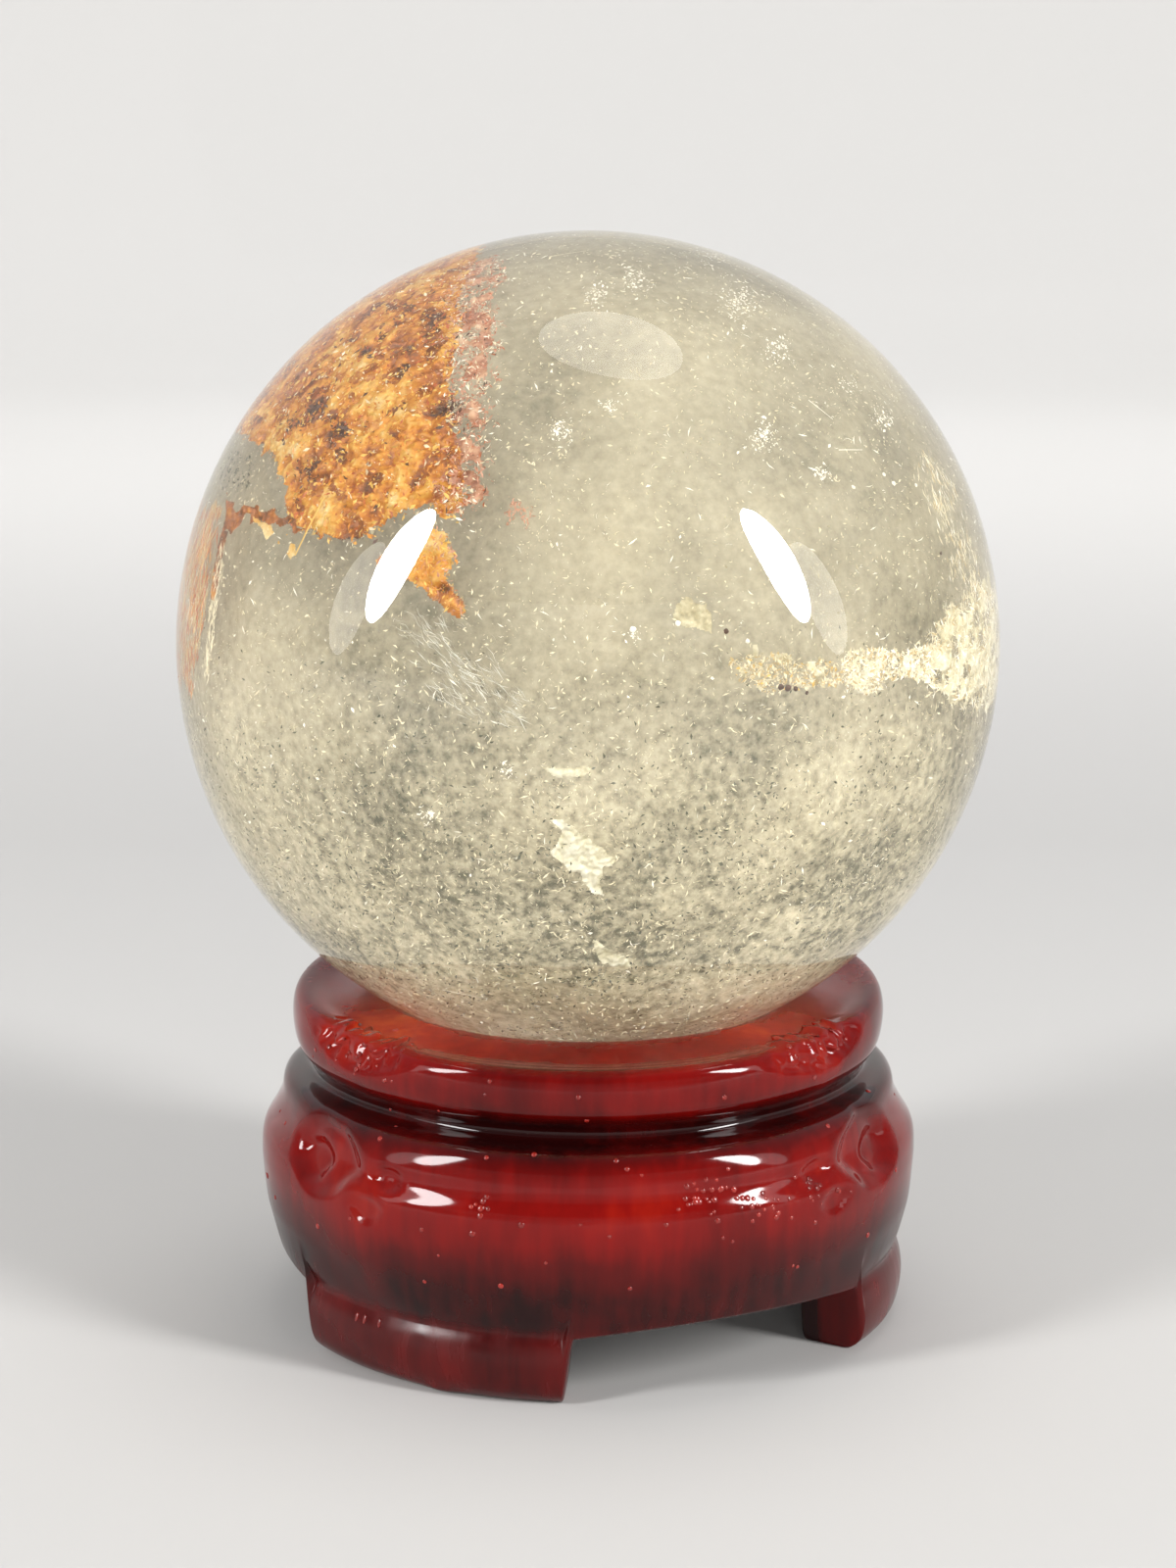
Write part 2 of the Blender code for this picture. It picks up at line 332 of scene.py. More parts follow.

# %% [markdown]
# ## The cloud inside
# Real milky quartz is clear stone with far too many specks to model. A lumpy rounded mesh under the
# surface stands for the light that they scatter. Subsurface scattering makes it soft, and three noises
# give it the stone's broad zones, fine grain and bright lace. A volume would be truer, but an exported
# model can't keep one. The stone is clearer near the top, so the cloud is smoother there. Its colour
# is darker up there and lighter towards the bottom, partly for that and partly as painted light for
# the glow of milky stone in its lower part, which the stand and the ball's own bulk shade.

# %% The cloud's colour
CLOUD_COLOURS = [
    (0.28, (0.16, 0.15, 0.10)),
    (0.42, (0.50, 0.45, 0.32)),
    (0.55, (0.74, 0.67, 0.49)),
    (0.72, (0.98, 0.91, 0.72)),
]
ZONE_SCALE = 75.0
GRAIN_SCALE = 1500.0
LACE_SCALE = 520.0
CONTRAST_HEIGHTS = (34 * MM, 58 * MM)
CONTRAST_AT_HEIGHTS = (0.68, 0.26)
# Painted light: the cloud's colour is made paler at the very bottom, down in the seat.
PAINTED_LIGHT_HEIGHTS = (21 * MM, 33 * MM)
PAINTED_LIGHT_AT_HEIGHTS = (0.24, 0.0)
# Darker near the top, where the stone is clearer, and lighter below, partly as painted light.
CLEAR_AND_PAINTED_HEIGHTS = (22 * MM, 56 * MM)
CLEAR_AND_PAINTED_AT_HEIGHTS = (0.97, 0.45)

cloud_material, tree, shader = new_material(
    "milky_cloud",
    Roughness=0.7,
    Subsurface_Weight=1.0,
    Subsurface_Radius=(1.0, 0.95, 0.85),
    Subsurface_Scale=0.014,
)
place = add_node(tree, "ShaderNodeTexCoord").outputs["Object"]
zones = noise_of(tree, place, ZONE_SCALE, detail=4.0)
grain = noise_of(tree, place, GRAIN_SCALE, detail=3.0, roughness=0.65)
lace = add_node(
    tree,
    "ShaderNodeTexNoise",
    {"Vector": place, "Scale": LACE_SCALE, "Detail": 3.0, "Roughness": 0.6, "Distortion": 0.5},
    noise_type="RIDGED_MULTIFRACTAL",
)
height = height_of(tree, place)
contrast = mapped(tree, height, *CONTRAST_HEIGHTS, *CONTRAST_AT_HEIGHTS)
fine = added(tree, grain, scaled(tree, lace.outputs["Fac"], 0.22, -0.66))
broad = scaled(tree, zones, 0.45, 0.285)
# Painted light: paler colour at the very bottom of the cloud, where the stand shades it.
painted_low_light = mapped(tree, height, *PAINTED_LIGHT_HEIGHTS, *PAINTED_LIGHT_AT_HEIGHTS)
mixed = added(tree, multiplied(tree, fine, contrast), added(tree, broad, painted_low_light))
body = ramp_between(tree, mixed, *CLOUD_COLOURS)
# Colour darker towards the top and lighter below: partly the clearer stone, partly painted light.
clear_and_painted_light = mapped(tree, height, *CLEAR_AND_PAINTED_HEIGHTS, *CLEAR_AND_PAINTED_AT_HEIGHTS)
body = add_node(tree, "ShaderNodeVectorMath", {0: body, "Scale": clear_and_painted_light}, operation="SCALE")
tree.links.new(body.outputs[0], shader.inputs["Base Color"])

# %% The cloud's shape
CLOUD_RADIUS = 24.5 * MM
CLOUD_LUMP = 1.2 * MM
CLOUD_GRAIN = 7 * MM

shape = bmesh.new()
bmesh.ops.create_icosphere(shape, subdivisions=6, radius=CLOUD_RADIUS)
for vertex in shape.verts:
    lump = noise.noise(vertex.co / CLOUD_GRAIN)
    vertex.co += vertex.co.normalized() * CLOUD_LUMP * lump
bmesh.ops.translate(shape, verts=shape.verts, vec=BALL_CENTRE)
cloud_mesh = bpy.data.meshes.new("milky_cloud")
shape.to_mesh(cloud_mesh)
shape.free()
cloud_mesh.shade_smooth()
new_piece("milky_cloud", cloud_mesh, cloud_material)
print("cloud of", len(cloud_mesh.polygons), "faces")

# %% [markdown]
# ## Places inside the ball
# The polished surface bends each line of sight, so a spot isn't where a straight line from the camera
# meets it. This finds the real place behind a pixel of the photograph, at any depth under the surface.
# Further on, places are measured from the ball's centre.

# %% Places inside the ball
TO_CAMERA = np.array((CAMERA_PLACE - BALL_CENTRE).normalized())


def unit(vectors):
    """Vectors made 1 long."""
    return vectors / np.linalg.norm(vectors, axis=-1, keepdims=True)


def reach(start, way, radius):
    """The first points that lie that far from the ball's centre, along lines from start."""
    half = (start * way).sum(axis=-1)
    square = np.maximum(half ** 2 - (start ** 2).sum(axis=-1) + radius ** 2, 0.0)
    return start + way * (-half - np.sqrt(square))[..., None]


def seen_at(columns, rows, depth):
    """The places, that deep under the surface, that show at those pixels of the photograph."""
    columns, rows = np.asarray(columns, dtype=float), np.asarray(rows, dtype=float)
    sight = np.stack(
        [columns - PHOTO_WIDTH / 2, PHOTO_HEIGHT / 2 - rows, 0 * columns - FOCAL_PIXELS], axis=-1
    )
    sight = unit(sight @ np.array(camera.rotation_euler.to_matrix()).T)
    surface = reach(np.array(CAMERA_PLACE - BALL_CENTRE), sight, BALL_RADIUS)
    normal = unit(surface)
    cosine = -(sight * normal).sum(axis=-1)
    bend = cosine / QUARTZ_IOR - np.sqrt(1 - (1 - cosine ** 2) / QUARTZ_IOR ** 2)
    bent = unit(sight / QUARTZ_IOR + bend[..., None] * normal)
    return reach(surface, bent, BALL_RADIUS - depth)


print("behind the photo's middle", np.round(seen_at(600, 657, 1 * MM) / MM, 1))

# %% [markdown]
# ## Outlines on the ball
# A patch of crust is drawn as a ring of pixels. It is flattened about its middle, as a map flattens a
# globe, so that a place can be tested for lying inside. A torn edge comes from moving each place a
# little before the test. Where a patch reaches the ball's edge it runs on behind, and thins out there,
# as nothing shows how it ends.

# %% Outlines on the ball
EDGE_MARGIN = 0.06


def turned_away(place, degrees):
    """A place moved round the ball, away from the camera, past the edge of what the photograph shows."""
    outward = unit(place)
    away = -unit(TO_CAMERA - (outward @ TO_CAMERA) * outward)
    turn = math.radians(degrees)
    return (outward * math.cos(turn) + away * math.sin(turn)) * np.linalg.norm(place)


def flat_axes(middle):
    """Two directions across the ball's surface at that direction."""
    right = unit(np.cross([0.0, 0.0, 1.0], middle))
    return np.stack([right, np.cross(middle, right)])


def flattened(places, middle):
    """Places as flat coordinates in radians about a middle direction, as a map of the ball's surface."""
    outward = unit(places)
    flat = outward @ flat_axes(middle).T
    turn = np.arccos(np.clip(outward @ middle, -1.0, 1.0))
    return flat / np.maximum(np.linalg.norm(flat, axis=-1), 1e-9)[..., None] * turn[..., None]


def raised(flat, middle):
    """The directions from the ball's centre of flat coordinates."""
    turn = np.linalg.norm(flat, axis=-1)[..., None]
    return np.cos(turn) * middle + np.sin(turn) * (flat @ flat_axes(middle)) / np.maximum(turn, 1e-9)


def outline_inside(pixels, depth):
    """An outline in pixels as flat coordinates, and its middle; a third number turns a point out of sight."""
    places = []
    for column, row, *degrees in pixels:
        place = seen_at(column, row, depth)
        places.append(turned_away(place, degrees[0]) if degrees else place)
    middle = unit(unit(np.array(places)).mean(axis=0))
    return flattened(np.array(places), middle), middle


def past_edge(outward):
    """How far directions lie behind the edge that the camera sees: 0 in front of it, 1 straight behind."""
    return np.maximum(-(outward @ TO_CAMERA) - EDGE_MARGIN, 0.0)


def within(flat, outline):
    """Which flat places lie inside an outline: those from which a line crosses it an odd number of times."""
    inside = np.zeros(len(flat), dtype=bool)
    for (x, y), (next_x, next_y) in zip(outline, np.roll(outline, -1, axis=0)):
        crosses = (y > flat[:, 1]) != (next_y > flat[:, 1])
        slope = (next_x - x) / (next_y - y if next_y != y else 1e-9)
        inside ^= crosses & (flat[:, 0] < x + slope * (flat[:, 1] - y))
    return inside


def ragged(flat, amount, grain):
    """Flat places moved a little by noise, so that an outline tested with them gets a torn edge."""
    moved = [noise.noise_vector(Vector((x, y, 0.37)) * BALL_RADIUS / grain)[:2] for x, y in flat]
    return flat + np.array(moved) * amount / BALL_RADIUS


# %% [markdown]
# ## Flecks
# What clouds the stone is thousands of specks and threads, finer than a hair. Each one here is a bent
# sliver of two faces. There are tens of thousands of them, so a whole kind is made at once from arrays,
# as one joined mesh in one plain colour. Milky stone scatters light round such small things, so they
# cast no shadow.

# %% Fleck colours
FLECK_COLOURS = {
    "cream": (0.55, 0.49, 0.34),
    "white": (0.70, 0.67, 0.57),
    "olive": (0.07, 0.07, 0.045),
    "rust": (0.30, 0.075, 0.018),
    "orange": (0.46, 0.19, 0.028),
    "gold": (0.52, 0.34, 0.085),
    "umber": (0.06, 0.03, 0.018),
    "rose": (0.38, 0.19, 0.12),
    "tan": (0.40, 0.30, 0.14),
    "mist": (0.44, 0.43, 0.37),
}
fleck_materials = {}
for name, colour in FLECK_COLOURS.items():
    fleck_materials[name], _, _ = new_material(
        name + "_flecks", Base_Color=(*colour, 1.0), Roughness=0.5
    )
print("fleck colours", ", ".join(FLECK_COLOURS))

# %% Slivers
FLECK_SEED = 11
SIZE_SPREAD = 0.45
LARGEST = 1.9
STRAY = 0.45
SLIVER_BEND = 0.12
rng = np.random.default_rng(FLECK_SEED)


def inclusion(name, mesh, material):
    """A piece inside the stone, which casts no shadow there."""
    piece = new_piece(name, mesh, material)
    piece.visible_shadow = False
    return piece


def slivers(name, colour, places, length, width, along=None):
    """Bent slivers at those places, as joined faces; along makes them lie roughly one way."""
    count = len(places)
    lie = rng.normal(size=(count, 3))
    if along is not None:
        lie = unit(lie) * STRAY + along
    lie = unit(lie)
    across = unit(np.cross(lie, rng.normal(size=(count, 3))))
    size = np.minimum(np.exp(rng.normal(0.0, SIZE_SPREAD, count)), LARGEST)[:, None]
    long, wide = lie * length / 2 * size, across * width / 2 * size
    bend = np.cross(lie, across) * length * SLIVER_BEND * size
    middle = places + np.array(BALL_CENTRE)
    corners = np.stack(
        [middle - long, middle - wide + bend, middle + long, middle + wide + bend], axis=1
    )
    mesh = bpy.data.meshes.new(name)
    mesh.vertices.add(count * 4)
    mesh.vertices.foreach_set("co", corners.reshape(-1).astype(np.float32))
    index = np.arange(count)[:, None] * 4
    triangles = np.concatenate([index + [0, 1, 3], index + [1, 2, 3]], axis=1).reshape(-1)
    mesh.loops.add(count * 6)
    mesh.loops.foreach_set("vertex_index", triangles.astype(np.int32))
    mesh.polygons.add(count * 2)
    mesh.polygons.foreach_set("loop_start", np.arange(count * 2, dtype=np.int32) * 3)
    mesh.update(calc_edges=True)
    mesh.validate()
    print(name, count)
    return inclusion(name, mesh, fleck_materials[colour])


# %% Where flecks lie
TORN_GRAIN = 1.0 * MM
THINNING = 5.0


def in_shell(count, nearest, deepest):
    """Random places all through a shell of the ball."""
    outer, inner = BALL_RADIUS - nearest, BALL_RADIUS - deepest
    radius = (inner ** 3 + (outer ** 3 - inner ** 3) * rng.random(count)) ** (1 / 3)
    return unit(rng.normal(size=(count, 3))) * radius[:, None]


def clustered(places, grain, low, high):
    """The places that a slow noise keeps: none where it is under low and all where it is over high."""
    density = np.array([noise.noise(Vector(place) / grain) for place in places])
    return places[rng.random(len(places)) < (density - low) / (high - low)]


def in_patch(count, pixels, nearest, deepest, torn=0.5 * MM):
    """Random places under an outline given in pixels, between two depths."""
    outline, middle = outline_inside(pixels, nearest)
    flat = outline.min(axis=0) + (outline.max(axis=0) - outline.min(axis=0)) * rng.random((count * 2, 2))
    flat = flat[within(ragged(flat, torn, TORN_GRAIN), outline)][:count]
    outward = raised(flat, middle)
    outward = outward[rng.random(len(outward)) > THINNING * past_edge(outward)]
    radius = BALL_RADIUS - nearest - (deepest - nearest) * rng.random(len(outward))
    return outward * radius[:, None]


def in_spots(spots, nearest, deepest, density):
    """Random places in small round clusters, given as column, row and radius in pixels."""
    places = []
    for column, row, size in spots:
        count = int(density * size * size)
        depths = nearest + (deepest - nearest) * rng.random(count)
        places.append(
            seen_at(rng.normal(column, size / 2, count), rng.normal(row, size / 2, count), depths)
        )
    return np.concatenate(places)


def lower_half(places, middle, softness):
    """The places that a smooth limit of height keeps, more of them further down."""
    return places[rng.random(len(places)) < smooth_step((middle - places[:, 2]) / softness + 0.5)]


# %% Flecks all through the stone
cream_places = clustered(in_shell(60000, 0.4 * MM, 7.0 * MM), 5 * MM, -0.9, 0.6)
slivers("cream_flecks", "cream", cream_places, 0.22 * MM, 0.08 * MM)
wisp_places = clustered(in_shell(60000, 0.6 * MM, 6.0 * MM), 4 * MM, -0.5, 0.6)
wisp_places = lower_half(wisp_places, -4 * MM, 26 * MM)
slivers("cream_wisps", "cream", wisp_places, 0.38 * MM, 0.07 * MM)
white_places = clustered(in_shell(9000, 0.4 * MM, 6.0 * MM), 3.5 * MM, -0.25, 0.8)
slivers("white_threads", "white", white_places, 0.42 * MM, 0.06 * MM)
crumb_places = clustered(in_shell(60000, 0.5 * MM, 3.0 * MM), 1.6 * MM, 0.42, 0.75)
slivers("white_crumbs", "white", crumb_places, 0.24 * MM, 0.12 * MM)
olive_places = clustered(in_shell(150000, 1.0 * MM, 7.0 * MM), 3.5 * MM, -0.35, 0.6)
olive_places = lower_half(olive_places, -5 * MM, 24 * MM)
slivers("olive_specks", "olive", olive_places, 0.24 * MM, 0.09 * MM)

# %% [markdown]
# ## The rusty garden
# Up on the left an iron-stained crust lies just under the skin: clumps of rust, orange and ochre, with
# dark gaps. The outlines are pixels of the photograph, and a third number turns a point that many
# degrees out of sight. Spots that stand out are given as column, row and size in pixels, with how much
# darker or lighter they are.

# %% Outlines of the garden
GARDEN = [
    (492, 252), (478, 285), (470, 312), (466, 353), (458, 408), (470, 463), (476, 500), (470, 528),
    (452, 527), (443, 512), (399, 531), (366, 553), (344, 556), (330, 545), (311, 545), (296, 530),
    (287, 515), (297, 497), (290, 490), (276, 463), (254, 449), (238, 442, 14), (262, 405, 24),
    (300, 363, 30), (350, 320, 26), (400, 287, 30), (450, 261, 22), (500, 247, 12),
]
TONGUE = [
    (425, 530), (456, 543), (464, 567), (456, 586), (476, 622), (469, 633), (443, 614), (416, 592),
    (390, 589), (382, 572), (402, 553),
]
BRANCH = [
    (232, 500), (243, 518), (270, 518), (300, 528), (318, 545), (300, 541), (262, 530), (244, 538),
    (228, 545),
]
TWIG = [(256, 524), (270, 534), (290, 545), (303, 560), (297, 572), (286, 556), (262, 540)]
STALK = [(234, 540), (226, 575), (220, 612), (214, 612), (219, 572), (226, 540)]
LEFT_EDGE = [
    (222, 520), (214, 560), (208, 600), (203, 650), (198, 690), (186, 700, 6), (183, 640, 10),
    (190, 575, 14), (205, 520, 14),
]
ROSE_BAND = [
    (514, 258), (506, 312), (505, 353), (494, 408), (496, 463), (492, 515), (455, 526), (440, 505),
    (458, 470), (460, 420), (446, 360), (455, 300), (470, 270),
]
DARK_SPOTS = [
    (322, 416, 15), (300, 433, 12), (457, 416, 14), (317, 482, 12), (445, 325, 11), (372, 360, 8),
    (454, 600, 6), (345, 440, 12), (330, 330, 10), (360, 305, 12),
]
RED_SPOTS = [(427, 348, 26), (383, 485, 18), (365, 540, 20), (470, 480, 28), (440, 380, 20)]
GOLD_SPOTS = [
    (388, 408, 34), (413, 463, 40), (340, 400, 26), (300, 455, 20), (330, 525, 24), (440, 560, 24),
    (290, 400, 20),
]
SPOT_TONES = [(DARK_SPOTS, -0.42), (RED_SPOTS, -0.15), (GOLD_SPOTS, 0.10)]
PIXEL = BALL_RADIUS / 420
spot_places = {(c, r): seen_at(c, r, 1.5 * MM) for spots, _ in SPOT_TONES for c, r, _ in spots}
print("spots of the garden", len(spot_places))


def spot_tone(place):
    """How much darker or lighter the named spots make a place."""
    tone = 0.0
    for spots, amount in SPOT_TONES:
        for column, row, size in spots:
            away = Vector(place - spot_places[(column, row)]).length / (size * PIXEL)
            tone += amount * math.exp(-away * away)
    return tone


# %% [markdown]
# ## A sheet of crust
# A crust is a thin lumpy sheet. It starts as a flat grid, is wrapped round the ball, cut to its outline,
# torn where a slow noise is lowest, and raised by a finer one. How dark each point is goes into a point
# attribute, and one node group adds fine grain to it for every kind of crust.

# %% Crust materials
CRUST_GRAIN_SCALE = 800.0

crust_grain = bpy.data.node_groups.new("crust_grain", "ShaderNodeTree")
crust_grain.interface.new_socket("Grain Scale", in_out="INPUT", socket_type="NodeSocketFloat")
crust_grain.interface.new_socket("Tone", in_out="OUTPUT", socket_type="NodeSocketFloat")
asked = add_node(crust_grain, "NodeGroupInput").outputs["Grain Scale"]
place = add_node(crust_grain, "ShaderNodeTexCoord").outputs["Object"]
fine = noise_of(crust_grain, place, asked, detail=5.0, roughness=0.7)
tone = add_node(crust_grain, "ShaderNodeAttribute", attribute_name="tone").outputs["Fac"]
grainy_tone = added(crust_grain, scaled(crust_grain, fine, 1.0, -0.5), tone)
add_node(crust_grain, "NodeGroupOutput", {"Tone": grainy_tone})


def crust_material(name, *stops):
    """A rough crust whose colour follows the point attribute "tone" and a fine grain."""
    material, tree, shader = new_material(name, Roughness=0.55)
    grain = add_node(tree, "ShaderNodeGroup", {"Grain Scale": CRUST_GRAIN_SCALE}, node_tree=crust_grain)
    tree.links.new(ramp_between(tree, grain.outputs["Tone"], *stops), shader.inputs["Base Color"])
    return material


# %% A sheet of crust
NO_GAPS = -0.8
BREAKING_UP = 3.2
EDGE_GRAIN = 1.1 * MM
GAP_GRAIN = 1.3 * MM
GAP_SHIFT = Vector((7, 0, 0))
LUMP_NOISE = (0.6, 2.2, 4)
LUMP_TONE = 0.13
ZONE_GRAIN = 3.5 * MM
ZONE_TONE = 0.20
SKIN = 0.25 * MM


def crust(
    name,
    material,
    pixels,
    depth,
    relief,
    gaps=NO_GAPS,
    lump=1.5 * MM,
    tone=0.5,
    torn=0.5 * MM,
    spacing=0.15 * MM,
):
    """A lumpy, torn sheet of crust under that outline, with gaps where a slow noise is lowest."""
    outline, middle = outline_inside(pixels, depth)
    border = 2 * torn / BALL_RADIUS
    low, high = outline.min(axis=0) - border, outline.max(axis=0) + border
    steps = np.ceil((high - low) * BALL_RADIUS / spacing).astype(int)
    shape = bmesh.new()
    bmesh.ops.create_grid(shape, x_segments=int(steps[0]), y_segments=int(steps[1]), size=0.5)
    flat = low + (np.array([vertex.co[:2] for vertex in shape.verts]) + 0.5) * (high - low)
    inside = within(ragged(flat, torn, EDGE_GRAIN), outline)
    places = raised(flat, middle) * (BALL_RADIUS - depth)
    tone_of = shape.verts.layers.float.new("tone")
    limits = gaps + BREAKING_UP * past_edge(unit(places))
    lost = []
    for vertex, place, keep, limit in zip(shape.verts, places, inside, limits):
        height = noise.fractal(Vector(place) / lump, *LUMP_NOISE)
        if not keep or noise.noise(Vector(place) / GAP_GRAIN + GAP_SHIFT) < limit:
            lost.append(vertex)
        slow = noise.noise(Vector(place) / ZONE_GRAIN)
        vertex[tone_of] = tone + LUMP_TONE * height + ZONE_TONE * slow + spot_tone(place)
        radius = min(BALL_RADIUS - depth + relief * height, BALL_RADIUS - SKIN)
        vertex.co = BALL_CENTRE + Vector(place).normalized() * radius
    bmesh.ops.delete(shape, geom=lost, context="VERTS")
    mesh = bpy.data.meshes.new(name)
    shape.to_mesh(mesh)
    shape.free()
    mesh.shade_smooth()
    print(name, len(mesh.polygons))
    return inclusion(name, mesh, material)


# %% The garden's sheets
garden_stops = [
    (0.02, (0.030, 0.016, 0.010)),
    (0.20, (0.10, 0.042, 0.015)),
    (0.36, (0.25, 0.080, 0.016)),
    (0.50, (0.40, 0.17, 0.022)),
    (0.66, (0.47, 0.28, 0.060)),
    (0.92, (0.56, 0.47, 0.27)),
]
rose_stops = [
    (0.10, (0.11, 0.045, 0.030)),
    (0.35, (0.26, 0.12, 0.070)),
    (0.55, (0.40, 0.24, 0.145)),
    (0.85, (0.56, 0.49, 0.36)),
]
garden_rust = crust_material("rusty_garden", *garden_stops)
garden_rose = crust_material("rosy_garden", *rose_stops)
crust("garden_ground", garden_rust, GARDEN, 2.4 * MM, 0.5 * MM, tone=0.38, spacing=0.25 * MM)
crust(
    "garden_crust",
    garden_rust,
    GARDEN,
    1.4 * MM,
    0.55 * MM,
    gaps=-0.26,
    lump=1.1 * MM,
    tone=0.50,
    torn=1.0 * MM,
)
crust("rosy_crust", garden_rose, ROSE_BAND, 1.6 * MM, 0.6 * MM, gaps=-0.02, tone=0.45, torn=1.0 * MM)
crust("garden_tongue", garden_rust, TONGUE, 1.2 * MM, 0.5 * MM, torn=0.3 * MM, tone=0.55)
crust(
    "garden_branch",
    garden_rust,
    BRANCH,
    1.0 * MM,
    0.4 * MM,
    gaps=-0.3,
    torn=0.6 * MM,
    tone=0.36,
    spacing=0.1 * MM,
)
crust(
    "garden_twig",
    garden_rust,
    TWIG,
    1.0 * MM,
    0.3 * MM,
    gaps=-0.12,
    torn=0.5 * MM,
    tone=0.72,
    spacing=0.1 * MM,
)
crust("garden_stalk", garden_rust, STALK, 1.0 * MM, 0.2 * MM, torn=0.2 * MM, tone=0.28)

# %% [markdown]
# ## Fibres and crumbs of the garden
# A sheet alone looks like paint. Loose slivers over and around it, in the same colours, give the crumbly
# depth that the real crust has. At the ball's left edge they are long and upright, as its rusty streaks
# are.

# %% Fibres and crumbs of the garden
for colour, count in (("orange", 3600), ("rust", 1700), ("gold", 3600), ("umber", 500), ("cream", 900)):
    places = in_patch(count, GARDEN, 0.5 * MM, 2.0 * MM, 1.0 * MM)
    slivers("garden_" + colour, colour, places, 0.34 * MM, 0.14 * MM)
slivers("garden_dark", "umber", in_spots(DARK_SPOTS, 0.6 * MM, 1.6 * MM, 0.45), 0.40 * MM, 0.14 * MM)
for colour, count in (("rose", 2400), ("rust", 900), ("white", 450), ("cream", 800), ("umber", 300)):
    places = in_patch(count, ROSE_BAND, 0.4 * MM, 2.0 * MM, 1.8 * MM)
    slivers("band_" + colour, colour, places, 0.32 * MM, 0.09 * MM)
for colour, count in (("orange", 300), ("gold", 300), ("rose", 260)):
    places = in_patch(count, TONGUE, 0.5 * MM, 1.4 * MM, 0.3 * MM)
    slivers("tongue_" + colour, colour, places, 0.30 * MM, 0.10 * MM)
for colour, count in (("rust", 2600), ("orange", 1500), ("tan", 3800), ("cream", 800)):
    places = clustered(in_patch(count, LEFT_EDGE, 0.4 * MM, 1.6 * MM, 2.2 * MM), 1.7 * MM, -0.45, 0.25)
    slivers("edge_" + colour, colour, places, 0.9 * MM, 0.09 * MM, along=np.array([0.15, 0.0, 1.0]))
CREAM_LINE = [
    (228, 556), (222, 610), (216, 660), (211, 694), (206, 692), (211, 645), (217, 595), (223, 556),
]
places = in_patch(240, CREAM_LINE, 0.4 * MM, 1.0 * MM, 0.3 * MM)
slivers("cream_line", "cream", places, 0.6 * MM, 0.08 * MM, along=np.array([0.1, 0.0, 1.0]))

# %% [markdown]
# ## The cream crust
# On the right, at the ball's edge, a pale fibrous crust comes near the surface. A crumbly white band and
# a tan line run on from it towards the middle. Small flakes lie here and there in the stone.

# %% Outlines of the crust and the flakes
CREAM_CRUST = [
    (946, 645), (962, 626), (985, 612), (1002, 590), (1008, 600, 12), (1017, 640, 24), (1019, 690, 26),
    (1012, 716, 18), (992, 724), (966, 716), (950, 700), (942, 672),
]
CRUMBLY_BAND = [
    (862, 674), (880, 663), (905, 661), (925, 666), (948, 656), (952, 700), (925, 690), (905, 697),
    (888, 710), (866, 703),
]
TAN_LINE = [
    (742, 676), (760, 669), (800, 666), (838, 676), (864, 676), (866, 700), (830, 702), (795, 706),
    (765, 698),
]
RIGHT_STREAKS = [
    (948, 455), (975, 500), (996, 560), (1004, 606), (984, 606), (968, 560), (950, 505), (934, 462),
]
PALE_FLAKE = [(690, 618), (704, 609), (722, 614), (727, 632), (724, 647), (706, 642), (688, 636)]
MIDDLE_FLAKE = [
    (560, 834), (576, 838), (592, 848), (610, 862), (626, 876), (628, 886), (616, 884), (612, 896),
    (618, 914), (606, 908), (590, 894), (574, 884), (560, 872), (566, 862), (570, 850),
]
LOW_FLAKE = [
    (601, 957), (612, 961), (626, 971), (643, 978), (645, 987), (628, 991), (617, 984), (608, 971),
]
SMALL_FLAKE = [(552, 788), (566, 780), (584, 781), (604, 784), (596, 792), (574, 793)]
FLAKES = {
    "pale_flake": (PALE_FLAKE, 0.42),
    "middle_flake": (MIDDLE_FLAKE, 0.68),
    "low_flake": (LOW_FLAKE, 0.7),
    "small_flake": (SMALL_FLAKE, 0.6),
}
print("flakes", ", ".join(FLAKES))

# %% The crust, the band and the flakes
cream_stops = [
    (0.10, (0.15, 0.13, 0.08)),
    (0.35, (0.32, 0.28, 0.17)),
    (0.60, (0.46, 0.42, 0.29)),
    (0.90, (0.62, 0.59, 0.48)),
]
cream_material = crust_material("cream_crust", *cream_stops)
crust(
    "cream_crust",
    cream_material,
    CREAM_CRUST,
    1.2 * MM,
    0.6 * MM,
    gaps=-0.28,
    lump=1.1 * MM,
    tone=0.60,
    torn=1.3 * MM,
)
crust(
    "crumbly_band",
    cream_material,
    CRUMBLY_BAND,
    1.3 * MM,
    0.6 * MM,
    gaps=-0.02,
    lump=0.7 * MM,
    tone=0.82,
    torn=1.2 * MM,
)
crust(
    "tan_line",
    cream_material,
    TAN_LINE,
    2.0 * MM,
    0.5 * MM,
    gaps=0.16,
    lump=1.0 * MM,
    tone=0.56,
    torn=1.4 * MM,
)
for name, (pixels, tone) in FLAKES.items():
    crust(
        name,
        cream_material,
        pixels,
        1.8 * MM,
        0.25 * MM,
        lump=0.7 * MM,
        tone=tone,
        torn=0.45 * MM,
        spacing=0.1 * MM,
    )

